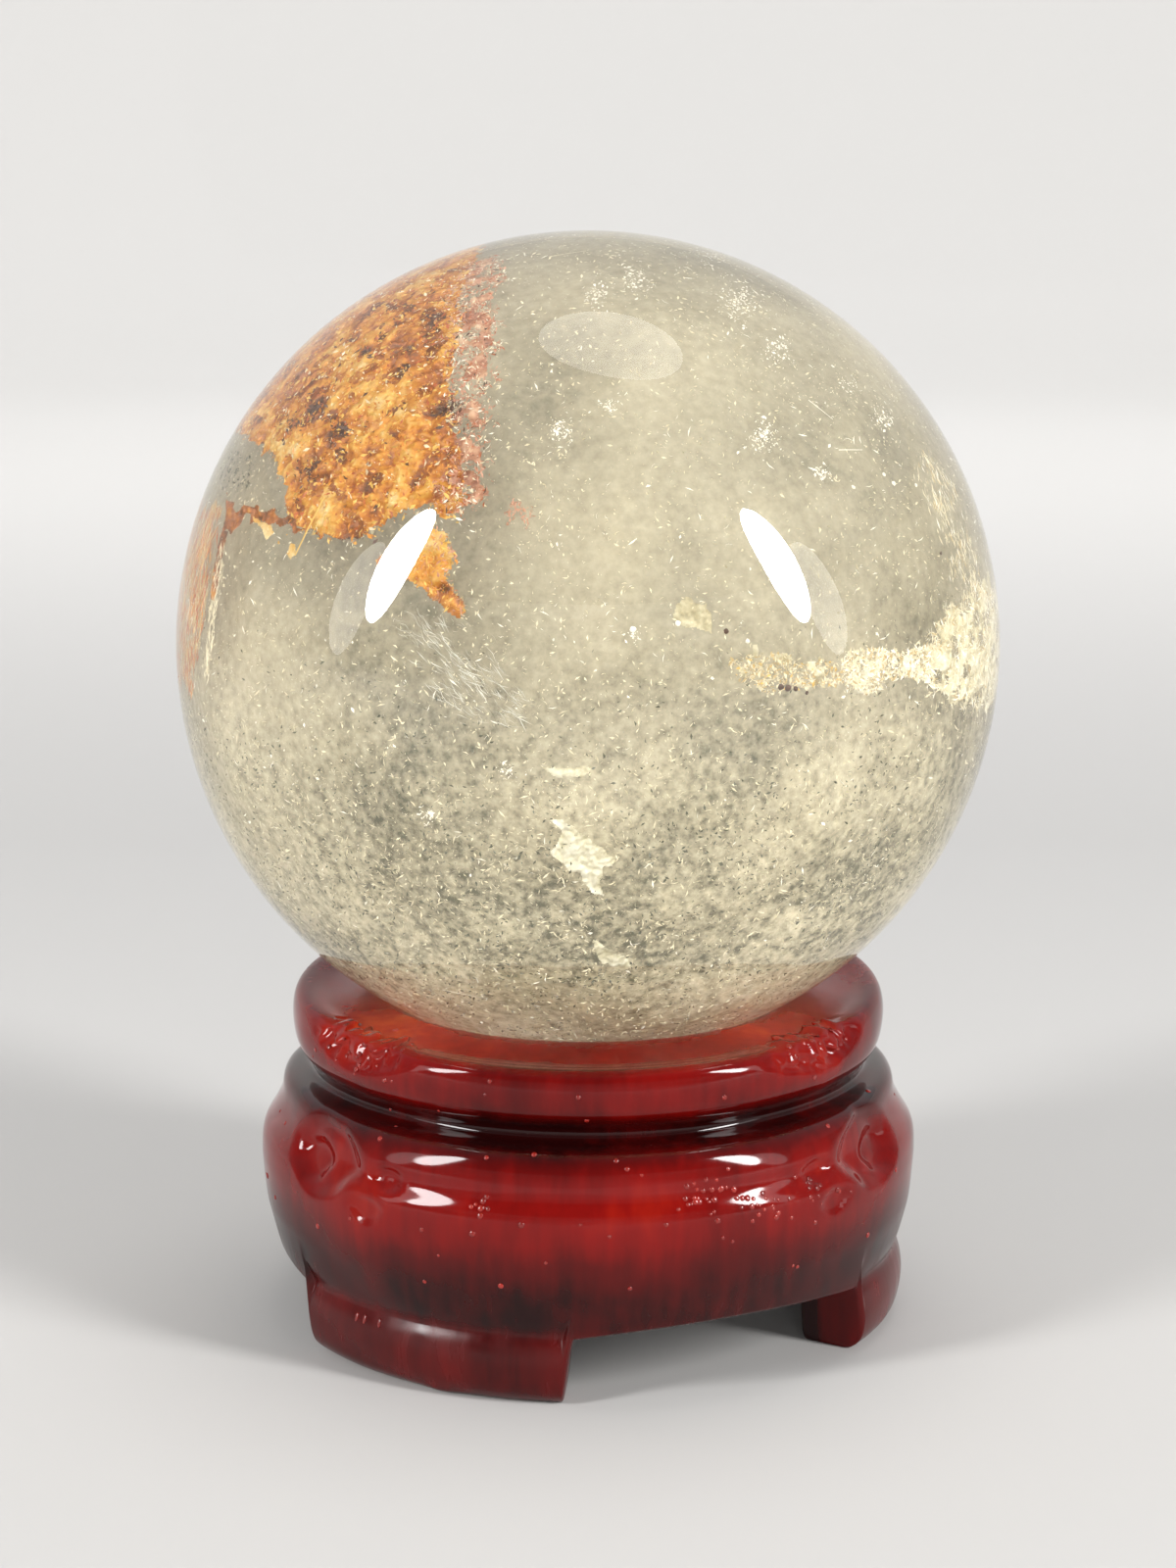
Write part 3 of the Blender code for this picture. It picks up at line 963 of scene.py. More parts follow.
# %% Fibres and crumbs of the crust
for colour, count in (("white", 1300), ("cream", 2400), ("tan", 900)):
    places = in_patch(count, CREAM_CRUST, 0.4 * MM, 1.6 * MM, 1.3 * MM)
    slivers("crust_" + colour, colour, places, 0.55 * MM, 0.08 * MM)
    places = in_patch(count // 3, CRUMBLY_BAND, 0.6 * MM, 1.8 * MM)
    slivers("band_of_" + colour, colour, places, 0.35 * MM, 0.12 * MM)
for colour, count in (("tan", 260), ("gold", 50), ("cream", 360)):
    places = in_patch(count, TAN_LINE, 1.0 * MM, 2.2 * MM, 1.0 * MM)
    slivers("line_" + colour, colour, places, 0.30 * MM, 0.12 * MM)
for colour, count in (("cream", 620), ("white", 170), ("tan", 210)):
    places = clustered(in_patch(count, RIGHT_STREAKS, 0.4 * MM, 2.0 * MM, 3.0 * MM), 1.6 * MM, -0.5, 0.3)
    slivers("streak_" + colour, colour, places, 0.5 * MM, 0.08 * MM, along=np.array([0.2, 0.0, -1.0]))

# %% [markdown]
# ## The veil, the tufts, the dots and the needles
# Below the left streak of light hangs a bluish veil of fine parallel lines. Tufts of white snow, a few
# brown and white dots and some single needles lie where the photograph shows them. They are what makes
# this stone this one, so each is placed by its own pixels. A needle is a thin cone, as a crystal has a
# body and a tip. The lowest one, at the ball's bottom, is a painted glint: a white cone where a
# reflection of the lamps shows.

# %% The veil and the tufts
VEIL = [
    (404, 622), (440, 640), (480, 668), (520, 716), (532, 742), (500, 738), (462, 712), (428, 676),
    (400, 645),
]
VEIL_WAY = np.array([0.75, 0.0, -0.65])
RUSTY_MIST = [(508, 512), (530, 503), (545, 512), (538, 530), (515, 534)]
DARK_SPECKS = [(226, 470), (246, 462), (258, 480), (250, 500), (230, 500)]
SNOW = [
    (755, 308, 20), (724, 262, 11), (780, 447, 16), (793, 357, 14), (901, 426, 12), (866, 392, 9),
    (838, 482, 10), (573, 440, 14), (622, 413, 10), (516, 785, 9), (648, 650, 7), (650, 285, 16),
    (610, 300, 14), (436, 832, 10),
]
mist_places = in_patch(560, VEIL, 1.5 * MM, 5.0 * MM, 3.0 * MM)
slivers("veil_mist", "mist", mist_places, 0.8 * MM, 0.035 * MM, along=VEIL_WAY)
line_places = in_patch(26, VEIL, 1.5 * MM, 4.0 * MM)
slivers("veil_lines", "olive", line_places, 0.8 * MM, 0.03 * MM, along=VEIL_WAY)
rusty_places = in_patch(130, RUSTY_MIST, 1.5 * MM, 3.5 * MM, 1.5 * MM)
slivers("rusty_mist", "rose", rusty_places, 0.30 * MM, 0.09 * MM)
speck_places = in_patch(170, DARK_SPECKS, 0.6 * MM, 1.2 * MM, 2.5 * MM)
slivers("dark_specks", "olive", speck_places, 0.30 * MM, 0.14 * MM)
slivers("snow", "white", in_spots(SNOW, 0.8 * MM, 2.5 * MM, 0.55), 0.19 * MM, 0.10 * MM)

# %% Dots
BROWN_DOTS = [(741, 644, 5), (797, 701, 6), (804, 702, 7), (812, 703, 5), (823, 707, 4), (960, 565, 4)]
WHITE_DOTS = [
    (902, 484, 4), (912, 493, 5), (935, 495, 4), (871, 497, 4), (763, 654, 4), (646, 642, 6),
    (692, 636, 5),
]
DOT_GRAIN = 0.2 * MM
DOT_BUMPS = 0.06 * MM


def dots(name, colour, spots, depth):
    """Small round grains at pixels of the photograph, joined in one mesh; the third number is the width."""
    shape = bmesh.new()
    for column, row, width in spots:
        place = Vector(seen_at(column, row, depth)) + BALL_CENTRE
        grain = bmesh.ops.create_icosphere(shape, subdivisions=2, radius=width * PIXEL / 2)
        bmesh.ops.translate(shape, verts=grain["verts"], vec=place)
    for vertex in shape.verts:
        vertex.co += noise.noise_vector(vertex.co / DOT_GRAIN) * DOT_BUMPS
    mesh = bpy.data.meshes.new(name)
    shape.to_mesh(mesh)
    shape.free()
    mesh.shade_smooth()
    print(name, len(spots))
    return inclusion(name, mesh, fleck_materials[colour])


dots("brown_dots", "umber", BROWN_DOTS, 1.2 * MM)
dots("white_dots", "white", WHITE_DOTS, 1.2 * MM)

# %% Needles
NEEDLE_TIP = 0.6


def needle(name, colour, start, end, depth, width):
    """A straight thin crystal between two pixels."""
    ends = [Vector(seen_at(*pixel, depth)) + BALL_CENTRE for pixel in (start, end)]
    way = ends[1] - ends[0]
    tip = width * NEEDLE_TIP
    turn = way.to_track_quat("Z", "Y").to_matrix().to_4x4()
    shape = bmesh.new()
    bmesh.ops.create_cone(shape, cap_ends=True, segments=6, radius1=width, radius2=tip, depth=way.length)
    shape.transform(Matrix.Translation((ends[0] + ends[1]) / 2) @ turn)
    mesh = bpy.data.meshes.new(name)
    shape.to_mesh(mesh)
    shape.free()
    print(name, round(way.length / MM, 1), "mm long")
    return inclusion(name, mesh, fleck_materials[colour])


needle("gold_needle", "gold", (331, 507), (301, 567), 0.6 * MM, 0.09 * MM)
needle("gold_needle_above", "gold", (336, 512), (318, 546), 0.5 * MM, 0.05 * MM)
needle("thin_needle", "white", (825, 408), (850, 428), 0.8 * MM, 0.03 * MM)
needle("thin_needle_below", "white", (856, 459), (880, 459), 0.8 * MM, 0.03 * MM)
needle("top_needle", "cream", (560, 262), (598, 256), 0.5 * MM, 0.03 * MM)
# A painted glint, not a crystal: a white cone where a reflection shows at the ball's bottom.
needle("low_painted_glint", "white", (451, 1010), (498, 1019), 0.4 * MM, 0.03 * MM)

# %% [markdown]
# ## The stand
# The real stand is one piece of wood: turned on a lathe, sawn out below into three feet, hollowed by a
# gouge and dipped in lacquer, which rounds every edge. A turned body is a spin of its outline, so that
# comes first. Under an arch the outline is another one, which ends higher. Each point is moved between
# the two outlines by its angle, and that makes the foot ends without a cut and keeps the mesh even and
# smooth.

# %% The outlines of the stand
RIM = (20.85 * MM, 24.35 * MM)
RIM_TILT = 0.9 * MM
RING = (22.0 * MM, 22.7 * MM)
GROOVE = (20.55 * MM, 19.05 * MM)
BELLY = (24.45 * MM, 11.9 * MM)
CREASE = (23.05 * MM, 5.2 * MM)
FOOT = (23.7 * MM, 2.6 * MM)
TOE = (23.35 * MM, 0.9 * MM)
SOLE_OUTER = (22.4 * MM, 0.0)
SOLE_INNER = (18.6 * MM, 0.0)
RECESS = (18.2 * MM, 6.8 * MM)
BELLY_LOW = (24.15 * MM, 8.8 * MM)
ARCH_HEIGHT = 5.7 * MM
ARCH_ROUNDING = 0.55 * MM
ARCH_INNER = (18.7 * MM, 5.7 * MM)
SEAT_RADIUS = BALL_RADIUS + 0.05 * MM
SEAT_ANGLE = math.radians(31.0)
CURVE_STEPS = 10


def curve_through(points, steps=CURVE_STEPS):
    """Points along a smooth Catmull-Rom curve that passes through the given ones."""
    ends = [points[0], *points, points[-1]]
    curve = []
    for before, start, end, after in zip(ends, ends[1:], ends[2:], ends[3:]):
        for t in np.arange(steps) / steps:
            curve.append([
                0.5 * (2 * b + (c - a) * t + (2 * a - 5 * b + 4 * c - d) * t * t
                       + (3 * b - a - 3 * c + d) * t ** 3)
                for a, b, c, d in zip(before, start, end, after)
            ])
    return np.array(curve + [list(points[-1])])


def evenly(points, count):
    """That many points, evenly spaced along a line of points."""
    points = np.array(points)
    length = np.concatenate([[0.0], np.cumsum(np.linalg.norm(np.diff(points, axis=0), axis=1))])
    wanted = np.linspace(0.0, length[-1], count)
    return np.stack([np.interp(wanted, length, points[:, k]) for k in range(2)], axis=1)


def rounded(points, passes):
    """Corners worn round by moving each inner point towards its neighbours."""
    points = points.copy()
    for _ in range(passes):
        points[1:-1] = 0.5 * points[1:-1] + 0.25 * (points[:-2] + points[2:])
    return points


def beside(point, out, up):
    """A point that lies that far out from and above another one."""
    return (point[0] + out * MM, point[1] + up * MM)


# %% The outline down to the belly
seat_angles = np.linspace(0.0, SEAT_ANGLE, 14)
seat_heights = BALL_CENTRE.z - SEAT_RADIUS * np.cos(seat_angles)
seat = np.stack([SEAT_RADIUS * np.sin(seat_angles), seat_heights], axis=1)
brim = evenly(
    [seat[-1], beside(RIM, -1.5, 0.0), beside(RIM, -0.25, 0.35), beside(RIM, 0.35, 0.35)], 20
)[1:]
ring = [
    beside(RIM, 0.35, 0.35),
    beside(RIM, 0.8, 0.1),
    beside(RIM, 1.06, -0.5),
    RING,
    beside(RING, -0.25, -1.7),
]
ring += [beside(GROOVE, 0.62, 1.05), beside(GROOVE, 0.15, 0.5), GROOVE]
ring = evenly(curve_through(ring), 28)[1:]
shoulder = [GROOVE, beside(GROOVE, 0.2, -0.35), beside(GROOVE, 0.8, -0.52), beside(GROOVE, 1.5, -0.64)]
shoulder += [beside(BELLY, -1.8, 6.28), beside(BELLY, -1.43, 5.93), beside(BELLY, -1.18, 5.52)]
shoulder += [beside(BELLY, -1.0, 5.1), beside(BELLY, -0.87, 4.7), beside(BELLY, -0.79, 4.3)]
shoulder += [beside(BELLY, -0.74, 3.85), beside(BELLY, -0.68, 3.45), beside(BELLY, -0.56, 3.1)]
shoulder += [beside(BELLY, -0.38, 2.75), beside(BELLY, -0.21, 2.45), beside(BELLY, -0.10, 2.1)]
shoulder += [beside(BELLY, -0.03, 1.7), beside(BELLY, 0.01, 1.0)]
ABOVE_CREASE = beside(CREASE, 0.54, 1.4)
down_to_low = CURVE_STEPS * (len(shoulder) + 1)
shoulder = evenly(curve_through([*shoulder, BELLY, BELLY_LOW, ABOVE_CREASE])[:down_to_low], 62)[1:]
upper = np.concatenate([seat, rounded(np.concatenate([seat[-1:], brim, ring, shoulder]), 3)[1:]])
print("rows down to the belly", len(upper))

# %% The outline over a foot and under an arch
foot_side = [BELLY_LOW, ABOVE_CREASE, beside(CREASE, 0.22, 0.5), CREASE, beside(CREASE, 0.22, -0.4)]
foot_side = evenly(curve_through([*foot_side, beside(FOOT, -0.12, 1.3), FOOT, TOE, SOLE_OUTER]), 38)
arch_side = foot_side[foot_side[:, 1] > ARCH_HEIGHT + ARCH_ROUNDING]
arch_edge = arch_side[-1] - [ARCH_ROUNDING * 0.2, ARCH_ROUNDING * 0.7]
arch_outer = [arch_side[-1][0] - ARCH_ROUNDING, ARCH_HEIGHT]
arch_side = evenly(np.concatenate([arch_side, [arch_edge, arch_outer]]), 38)


def lower(side, sole, rows):
    """Down the side, across the sole and up the inner wall to the recess."""
    under = evenly([side[-1], sole], rows[0])[1:]
    wall = evenly([sole, RECESS], rows[1])[1:]
    return rounded(np.concatenate([side[1:], under, wall]), 2)


UNDER_ROWS = (12, 16)
foot_rows = lower(foot_side, SOLE_INNER, UNDER_ROWS)
arch_rows = lower(arch_side, ARCH_INNER, UNDER_ROWS)
ceiling = evenly([RECESS, (0.0, RECESS[1])], 8)[1:]
outline = np.concatenate([upper, foot_rows, ceiling])
arch_outline = np.concatenate([upper, arch_rows, ceiling])
print("outline of", len(outline), "points")

# %% [markdown]
# ## Where the feet end
# ARCH_ENDS holds the angles, in degrees from the front towards the right, between which wood is sawn
# away. The foot ends are steep, so the spin's columns are moved closer together there.

# %% Where the feet end
ARCH_ENDS = [(-3.5, 57.0), (117.0, 177.0), (238.0, 300.5)]
FOOT_END_TURN = 2.3
ARCH_DROP = 0.9 * MM
COLUMNS = 500
CROWDING = 6.0
CROWD_TURN = 2.0


def turn_from(angle, centre):
    """The turn from centre to angle, in degrees, from -180 to 180."""
    return (angle - centre + 180.0) % 360.0 - 180.0


def foot_share(angle):
    """1 over a foot and 0 over an arch, and how much lower the arch is there than in its middle."""
    share, drop = 1.0, 0.0
    for start, end in ARCH_ENDS:
        half = (end - start) / 2
        turn = abs(turn_from(angle, (start + end) / 2))
        share = min(share, smooth_step(0.5 + (turn - half) / FOOT_END_TURN))
        if turn < half + FOOT_END_TURN:
            drop = ARCH_DROP * min(turn / half, 1.0) ** 2
    return share, drop


fine_angles = np.linspace(0.0, 360.0, 7201)
crowd = np.ones_like(fine_angles)
for arch_end in np.array(ARCH_ENDS).reshape(-1):
    crowd += CROWDING * np.exp(-(turn_from(fine_angles, arch_end) / CROWD_TURN) ** 2)
reached = np.concatenate([[0.0], np.cumsum(crowd[1:])])
column_angles = np.interp(np.arange(COLUMNS) / COLUMNS * reached[-1], reached, fine_angles)

# %% [markdown]
# ## What the gouge left
# Three scoops sit on the belly's shoulder, each with smaller ones in it and beside it, and above each of
# them the rim is nicked and bumpy. Each is a move of the mesh's points inwards, because a gouge takes
# wood off just so. A smaller scoop is given by its turn and rise from the large one, its share of the
# size, and its depth.

# %% What the gouge left
SCOOP_ANGLES = [-53.0, 59.0, 183.0]
SCOOP_HEIGHT = 15.4 * MM
SCOOP_WIDTH = 5.2 * MM
SCOOP_RISE = 3.1 * MM
SCOOP_DEPTH = 0.75 * MM
INNER_SCOOP = (-4.0, -0.6 * MM, 0.55, 0.4 * MM)
SIDE_SCOOP = (16.5, -0.1 * MM, 0.34, 0.35 * MM)
LOW_SCOOP = (13.0, -2.5 * MM, 0.36, 0.3 * MM)
NICK_ANGLES = [-50.0, 50.0, 176.0]
NICK_WIDTH = 7.4 * MM
NICK_HEIGHT = 24.0 * MM
NICK_RISE = 2.1 * MM
NICK_DEPTH = 0.5 * MM
NICK_ROUGHNESS = 0.75 * MM
WAVE_DEPTH = 0.07 * MM
DRIP_ANGLE = -27.0
DRIP_WIDTH = 1.4 * MM
DRIP_HEIGHT = 1.0 * MM
DRIP_DEPTH = 0.3 * MM
WORN_HEIGHT = 16.7 * MM
WORN_RISE = 1.3 * MM
WORN_DEPTH = 0.6 * MM
WAVE_GRAIN = 6.0 * MM
FINE_GRAIN = 0.75 * MM
COARSE_GRAIN = 1.7 * MM
WOBBLE = 0.3 * MM
WOBBLE_GRAIN = 2.2 * MM


def dent(angle, height, centre, middle, width, rise, border):
    """1 inside a scoop of that size, falling to 0 over its border."""
    across = math.radians(turn_from(angle, centre)) * BELLY[0] / width
    up = (height - middle) / rise
    narrow = 1.0 + 0.55 * max(-up, 0.0)
    return smooth_step((1.0 - math.hypot(across * narrow, up)) / border)


def carved(radius, height, angle):
    """Where the gouge, the tilt of the rim and the uneven lacquer leave a point of the turned stand."""
    spot = Vector((math.sin(math.radians(angle)), -math.cos(math.radians(angle)), 0.0)) * radius
    spot.z = height
    rough = noise.noise(spot / FINE_GRAIN) + 0.5 * noise.noise(spot / COARSE_GRAIN)
    depth = WAVE_DEPTH * noise.noise(spot / WAVE_GRAIN)
    lump = 0.0
    wobble = WOBBLE * noise.noise(spot / WOBBLE_GRAIN)
    for number, centre in enumerate(SCOOP_ANGLES):
        up = height + wobble
        depth += SCOOP_DEPTH * dent(angle, up, centre, SCOOP_HEIGHT, SCOOP_WIDTH, SCOOP_RISE, 0.45)
        for turn, rise, share, deep in (INNER_SCOOP, SIDE_SCOOP, LOW_SCOOP):
            place, middle = centre + turn * (-1) ** number, SCOOP_HEIGHT + rise
            depth += deep * dent(angle, up, place, middle, SCOOP_WIDTH * share, SCOOP_RISE * share, 0.5)
    if radius > RIM[0] - 1.2 * MM:
        for centre in NICK_ANGLES:
            nick = dent(angle, height, centre, NICK_HEIGHT, NICK_WIDTH, NICK_RISE, 0.5)
            depth += (NICK_DEPTH + NICK_ROUGHNESS * rough) * nick
            lump += 0.5 * NICK_ROUGHNESS * rough * nick
    across = math.radians(turn_from(angle, DRIP_ANGLE)) * FOOT[0] / DRIP_WIDTH
    depth -= DRIP_DEPTH * math.exp(-across * across) * smooth_step(1.0 - height / DRIP_HEIGHT)
    sideways = smooth_step((abs(turn_from(angle, 0.0)) - 50.0) / 25.0)
    depth += WORN_DEPTH * math.exp(-(((height - WORN_HEIGHT) / WORN_RISE) ** 2)) * sideways
    over_groove = smooth_step((height - GROOVE[1]) / (RING[1] + 1.0 * MM - GROOVE[1]))
    past_seat = smooth_step((radius - seat[-1][0]) / (RIM[0] - seat[-1][0]))
    tilt = RIM_TILT * math.cos(math.radians(angle)) * over_groove * past_seat
    return radius - depth, height + lump - tilt


# %% [markdown]
# ## How thin the tint is, and painted shade
# Lacquer runs off a bulge before it sets. So the red is light on the belly, on the brim and round the
# nicks. Darker towards the feet and almost black in the groove and under the stand is painted shade.
# Each line below adds or takes its share, at a height in the stand. It is worked out for the plain
# turned shape, and the mesh carries it as a point attribute.

# %% How thin the tint is
OPEN_WOOD = 0.50
ON_THE_BULGE = 0.08
BULGE = (14.5 * MM, 3.0 * MM)
# Painted shade in the groove.
PAINTED_SHADE_IN_GROOVE = 0.30
GROOVE_RISE = 1.5 * MM
# Painted shade low down, towards the feet.
PAINTED_SHADE_LOW_DOWN = 0.26
LOW = (12.5 * MM, 5.0 * MM)
# Half of that painted shade is given back on the feet.
PAINTED_SHADE_TAKEN_OFF_FEET = 0.13
FEET = (6.2 * MM, 1.6 * MM)
ON_THE_BRIM = 0.10
BRIM = (23.6 * MM, 0.5 * MM)
BRIM_WIDTH = 0.6 * MM
# Painted shade under the stand, in its hollow.
PAINTED_SHADE_UNDERNEATH = 0.50
HOLLOW = (20.5 * MM, 1.5 * MM)
HOLLOW_TOP = (9.0 * MM, 2.0 * MM)
AT_A_NICK = 0.16
TINTED_NICK = (NICK_WIDTH * 1.2, NICK_RISE * 1.5, 0.8)


def bell(value, middle, width):
    """1 at the middle, falling to nothing on both sides."""
    return math.exp(-(((value - middle) / width) ** 2))


def below(value, start, width):
    """0 above start, rising to 1 over that width below it."""
    return smooth_step((start - value) / width)


def tint_and_shade(radius, height, angle):
    """How light the red is there: about 0.5 on open wood, more where it was cut, less where shade is painted.
    """
    tint_shade = OPEN_WOOD + ON_THE_BULGE * bell(height, *BULGE)
    # Painted shade: darker in the groove.
    tint_shade -= PAINTED_SHADE_IN_GROOVE * bell(height, GROOVE[1], GROOVE_RISE)
    # Painted shade low down; the next line gives half of it back on the feet.
    tint_shade -= PAINTED_SHADE_LOW_DOWN * below(height, *LOW)
    tint_shade += PAINTED_SHADE_TAKEN_OFF_FEET * below(height, *FEET)
    tint_shade += ON_THE_BRIM * smooth_step((height - BRIM[0]) / BRIM[1]) * below(radius, RIM[0], BRIM_WIDTH)
    # Painted shade: near black under the stand and in its hollow.
    tint_shade -= PAINTED_SHADE_UNDERNEATH * below(radius, *HOLLOW) * below(height, *HOLLOW_TOP)
    for centre in NICK_ANGLES:
        tint_shade += AT_A_NICK * dent(angle, height, centre, NICK_HEIGHT, *TINTED_NICK)
    return tint_shade


print("tint on the belly", round(tint_and_shade(*BELLY, 0.0), 2))

# %% [markdown]
# ## Spinning the stand
# The outline goes once round the axis, as the wood did on the lathe. Each point keeps the number of its
# row, so that it can then be moved to where the two outlines, the gouge and the uneven lacquer put it.

# %% Spin the outline
STAND_MERGE = 0.001 * MM
ON_THE_AXIS = 0.01 * MM
shape = bmesh.new()
row_of = shape.verts.layers.int.new("row")
line = []
for row, (radius, height) in enumerate(outline):
    vertex = shape.verts.new((radius, 0.0, height))
    vertex[row_of] = row
    line.append(vertex)
edges = [shape.edges.new(pair) for pair in zip(line, line[1:])]
bmesh.ops.spin(
    shape,
    geom=line + edges,
    axis=(0, 0, 1),
    cent=(0, 0, 0),
    angle=2 * math.pi,
    steps=COLUMNS,
    use_merge=True,
)
bmesh.ops.remove_doubles(shape, verts=shape.verts, dist=STAND_MERGE)
print("spun points", len(shape.verts))

# %% Move the points to their places
tint_shade_of = shape.verts.layers.float.new("tint_shade")
shares = [foot_share(angle) for angle in column_angles]
for vertex in shape.verts:
    row = vertex[row_of]
    bearing = math.degrees(math.atan2(vertex.co.x, -vertex.co.y)) % 360.0
    column = round(bearing * COLUMNS / 360.0) % COLUMNS
    angle = column_angles[column]
    if math.hypot(vertex.co.x, vertex.co.y) < ON_THE_AXIS:
        continue
    share, drop = shares[column]
    radius, height = share * outline[row] + (1.0 - share) * arch_outline[row]
    if len(upper) <= row < len(outline) - len(ceiling):
        fade = smooth_step((BELLY_LOW[1] - arch_outline[row][1]) / (BELLY_LOW[1] - ARCH_HEIGHT))
        height -= (1.0 - share) * drop * fade
    # How thin the tint is, with painted shade in the groove, low down and under the stand.
    vertex[tint_shade_of] = tint_and_shade(radius, height, angle)
    radius, height = carved(radius, height, angle)
    turn = math.radians(angle)
    vertex.co = (radius * math.sin(turn), -radius * math.cos(turn), max(height, 0.0))
bmesh.ops.recalc_face_normals(shape, faces=shape.faces)
stand_mesh = bpy.data.meshes.new("lacquered_stand")
shape.to_mesh(stand_mesh)
shape.free()
stand_mesh.shade_smooth()
print("stand of", len(stand_mesh.polygons), "faces")

# %% [markdown]
# ## Cherry lacquer
# Tinted lacquer is thin and orange where the wood bulges or was cut. Streaks of the wood's figure show
# through it. A point attribute holds how thin the tint is, and also the painted shade that makes it
# dark in the groove, low down and under the stand. It is glossy, with a little haze low down and where
# the ball has rubbed the seat, and as uneven as an orange's peel.

# %% Lacquer
LACQUER_COLOURS = [
    (0.20, (0.010, 0.0008, 0.0008)),
    (0.42, (0.065, 0.0012, 0.0010)),
    (0.60, (0.145, 0.0022, 0.0014)),
    (0.76, (0.24, 0.008, 0.002)),
    (0.98, (0.42, 0.050, 0.007)),
]
FIGURE_STRETCH = (1.0, 1.0, 0.16)
FIGURE_SCALE = 900.0
PATCH_SCALE = 105.0
PEEL_SCALE = 260.0
PEEL_DEPTH = 0.02 * MM
HAZE_HEIGHTS = (7 * MM, 12 * MM)
HAZE_AT_HEIGHTS = (0.36, 0.06)
SEAT_HEIGHTS = (23.8 * MM, 24.6 * MM)
WORN_AT_HEIGHTS = (0.04, 0.24)

lacquer, tree, shader = new_material("red_lacquer", Roughness=0.07, IOR=1.35)
place = add_node(tree, "ShaderNodeTexCoord").outputs["Object"]
along_wood = add_node(tree, "ShaderNodeVectorMath", {0: place, 1: FIGURE_STRETCH}, operation="MULTIPLY")
figure = noise_of(tree, along_wood.outputs[0], FIGURE_SCALE, detail=3.0)
patches = noise_of(tree, place, PATCH_SCALE, detail=3.0, distortion=0.6)
# Thin tint and painted shade together, from the point attribute.
thin_tint_and_shade = add_node(tree, "ShaderNodeAttribute", attribute_name="tint_shade").outputs["Fac"]
uneven = added(tree, scaled(tree, patches, 0.42, -0.21), scaled(tree, figure, 0.24, -0.12))
tint = added(tree, uneven, thin_tint_and_shade)
tree.links.new(ramp_between(tree, tint, *LACQUER_COLOURS), shader.inputs["Base Color"])
height = height_of(tree, place)
dull = multiplied(tree, figure, mapped(tree, height, *HAZE_HEIGHTS, *HAZE_AT_HEIGHTS))
worn = mapped(tree, height, *SEAT_HEIGHTS, *WORN_AT_HEIGHTS)
tree.links.new(added(tree, dull, worn), shader.inputs["Roughness"])
peel = noise_of(tree, place, PEEL_SCALE, detail=1.0)
bump = add_node(tree, "ShaderNodeBump", {"Height": peel, "Strength": 0.5, "Distance": PEEL_DEPTH})
tree.links.new(bump.outputs["Normal"], shader.inputs["Normal"])
print("lacquer from nodes", len(tree.nodes))

stand = new_piece("lacquered_stand", stand_mesh, lacquer)
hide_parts("stand")

# %% [markdown]
# ## Nibs in the lacquer
# Dust that settled in the wet lacquer left small round nibs, each with its own glint. They lie thickest
# where the photograph shows them, at pixels that are followed along the line of sight to the stand, and
# thinly all round. They are real bumps, because a glint that small needs its own curved surface, and a
# little duller than the lacquer, so that the glint covers most of a nib.

# %% Where the nibs lie
NIB_SEED = 5
NIB_RADIUS = 0.18 * MM
NIB_HEIGHT = 0.38
NIB_CLUSTERS = [
    (722, 1226, 17, 11, 26), (776, 1234, 22, 9, 22), (832, 1212, 13, 9, 14), (490, 1228, 9, 7, 9),
    (372, 1080, 20, 12, 20), (820, 1068, 16, 6, 12),
]
NIB_SINGLES = [
    (532, 1250), (592, 1250), (622, 1262), (680, 1250), (640, 1193), (545, 1178), (590, 1120),
    (430, 1255),
]
NIBS_ALL_ROUND = 90
NIB_STOPS = ((0.35, (0.12, 0.003, 0.002)), (0.65, (0.25, 0.014, 0.008)))
DUST_SCALE = 900.0
DINGS = [(364, 1344), (372, 1346), (387, 1350)]
DING_SIZE = (0.16 * MM, 0.36 * MM, 0.07 * MM)
nib_rng = np.random.default_rng(NIB_SEED)
stand_faces = [list(polygon.vertices) for polygon in stand_mesh.polygons]
stand_surface = BVHTree.FromPolygons([vertex.co for vertex in stand_mesh.vertices], stand_faces)


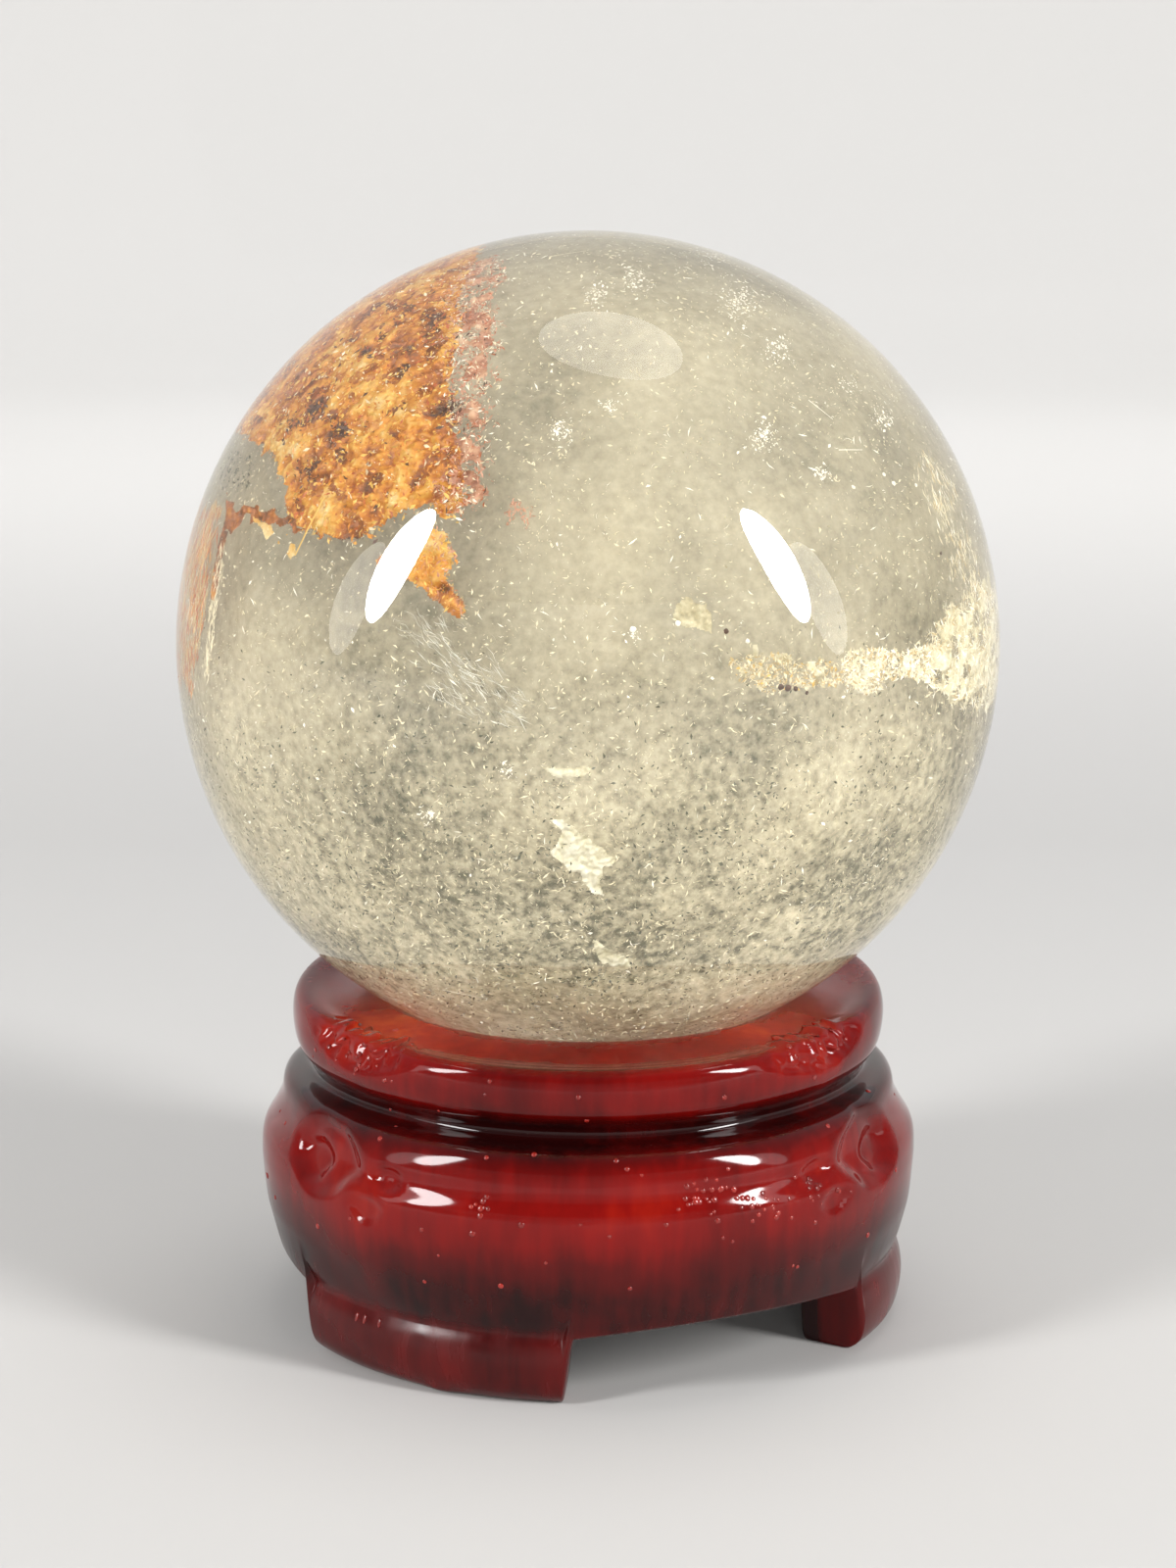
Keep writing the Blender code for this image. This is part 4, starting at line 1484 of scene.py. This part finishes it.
def on_stand(column, row):
    """Where the line of sight through that pixel meets the stand, and which way the surface faces there."""
    sight = Vector((column - PHOTO_WIDTH / 2, PHOTO_HEIGHT / 2 - row, -FOCAL_PIXELS))
    sight.rotate(camera.rotation_euler)
    return stand_surface.ray_cast(CAMERA_PLACE, sight)[:2]


def around_stand(angle, height):
    """The outermost place on the stand at that angle from the front and that height."""
    outward = Vector((math.sin(math.radians(angle)), -math.cos(math.radians(angle)), 0.0))
    return stand_surface.ray_cast(outward * 2 * BELLY[0] + Vector((0.0, 0.0, height)), -outward)[:2]


def add_bump(shape, place, normal, size):
    """A flattened ball on the surface: size is its half width, half height and how far it stands out."""
    bump = bmesh.ops.create_icosphere(shape, subdivisions=2, radius=1.0)
    turn = normal.to_track_quat("Z", "Y").to_matrix().to_4x4()
    matrix = Matrix.Translation(place) @ turn @ Matrix.Diagonal((*size, 1.0))
    bmesh.ops.transform(shape, matrix=matrix, verts=bump["verts"])


# %% Set the nibs
nib_spots = [on_stand(*pixel) for pixel in NIB_SINGLES]
for column, row, wide, tall, count in NIB_CLUSTERS:
    pixels = zip(nib_rng.normal(column, wide, count), nib_rng.normal(row, tall, count))
    nib_spots += [on_stand(*pixel) for pixel in pixels]
nib_angles = nib_rng.uniform(0, 360, NIBS_ALL_ROUND)
nib_heights = nib_rng.uniform(8 * MM, 23 * MM, NIBS_ALL_ROUND)
for angle, height in zip(nib_angles, nib_heights):
    nib_spots.append(around_stand(angle, height))
shape = bmesh.new()
for place, normal in nib_spots:
    if place is not None:
        nib = NIB_RADIUS * nib_rng.uniform(0.6, 1.35)
        add_bump(shape, place, normal, (nib, nib, nib * NIB_HEIGHT))
for pixel in DINGS:
    add_bump(shape, *on_stand(*pixel), DING_SIZE)
nib_mesh = bpy.data.meshes.new("lacquer_nibs")
shape.to_mesh(nib_mesh)
shape.free()
nib_mesh.shade_smooth()
nib_lacquer, tree, shader = new_material("nib_lacquer", Roughness=0.17, IOR=1.6)
place = add_node(tree, "ShaderNodeTexCoord").outputs["Object"]
dust = noise_of(tree, place, DUST_SCALE, detail=2.0)
tree.links.new(ramp_between(tree, dust, *NIB_STOPS), shader.inputs["Base Color"])
new_piece("lacquer_nibs", nib_mesh, nib_lacquer)
print("nibs", len(nib_spots))
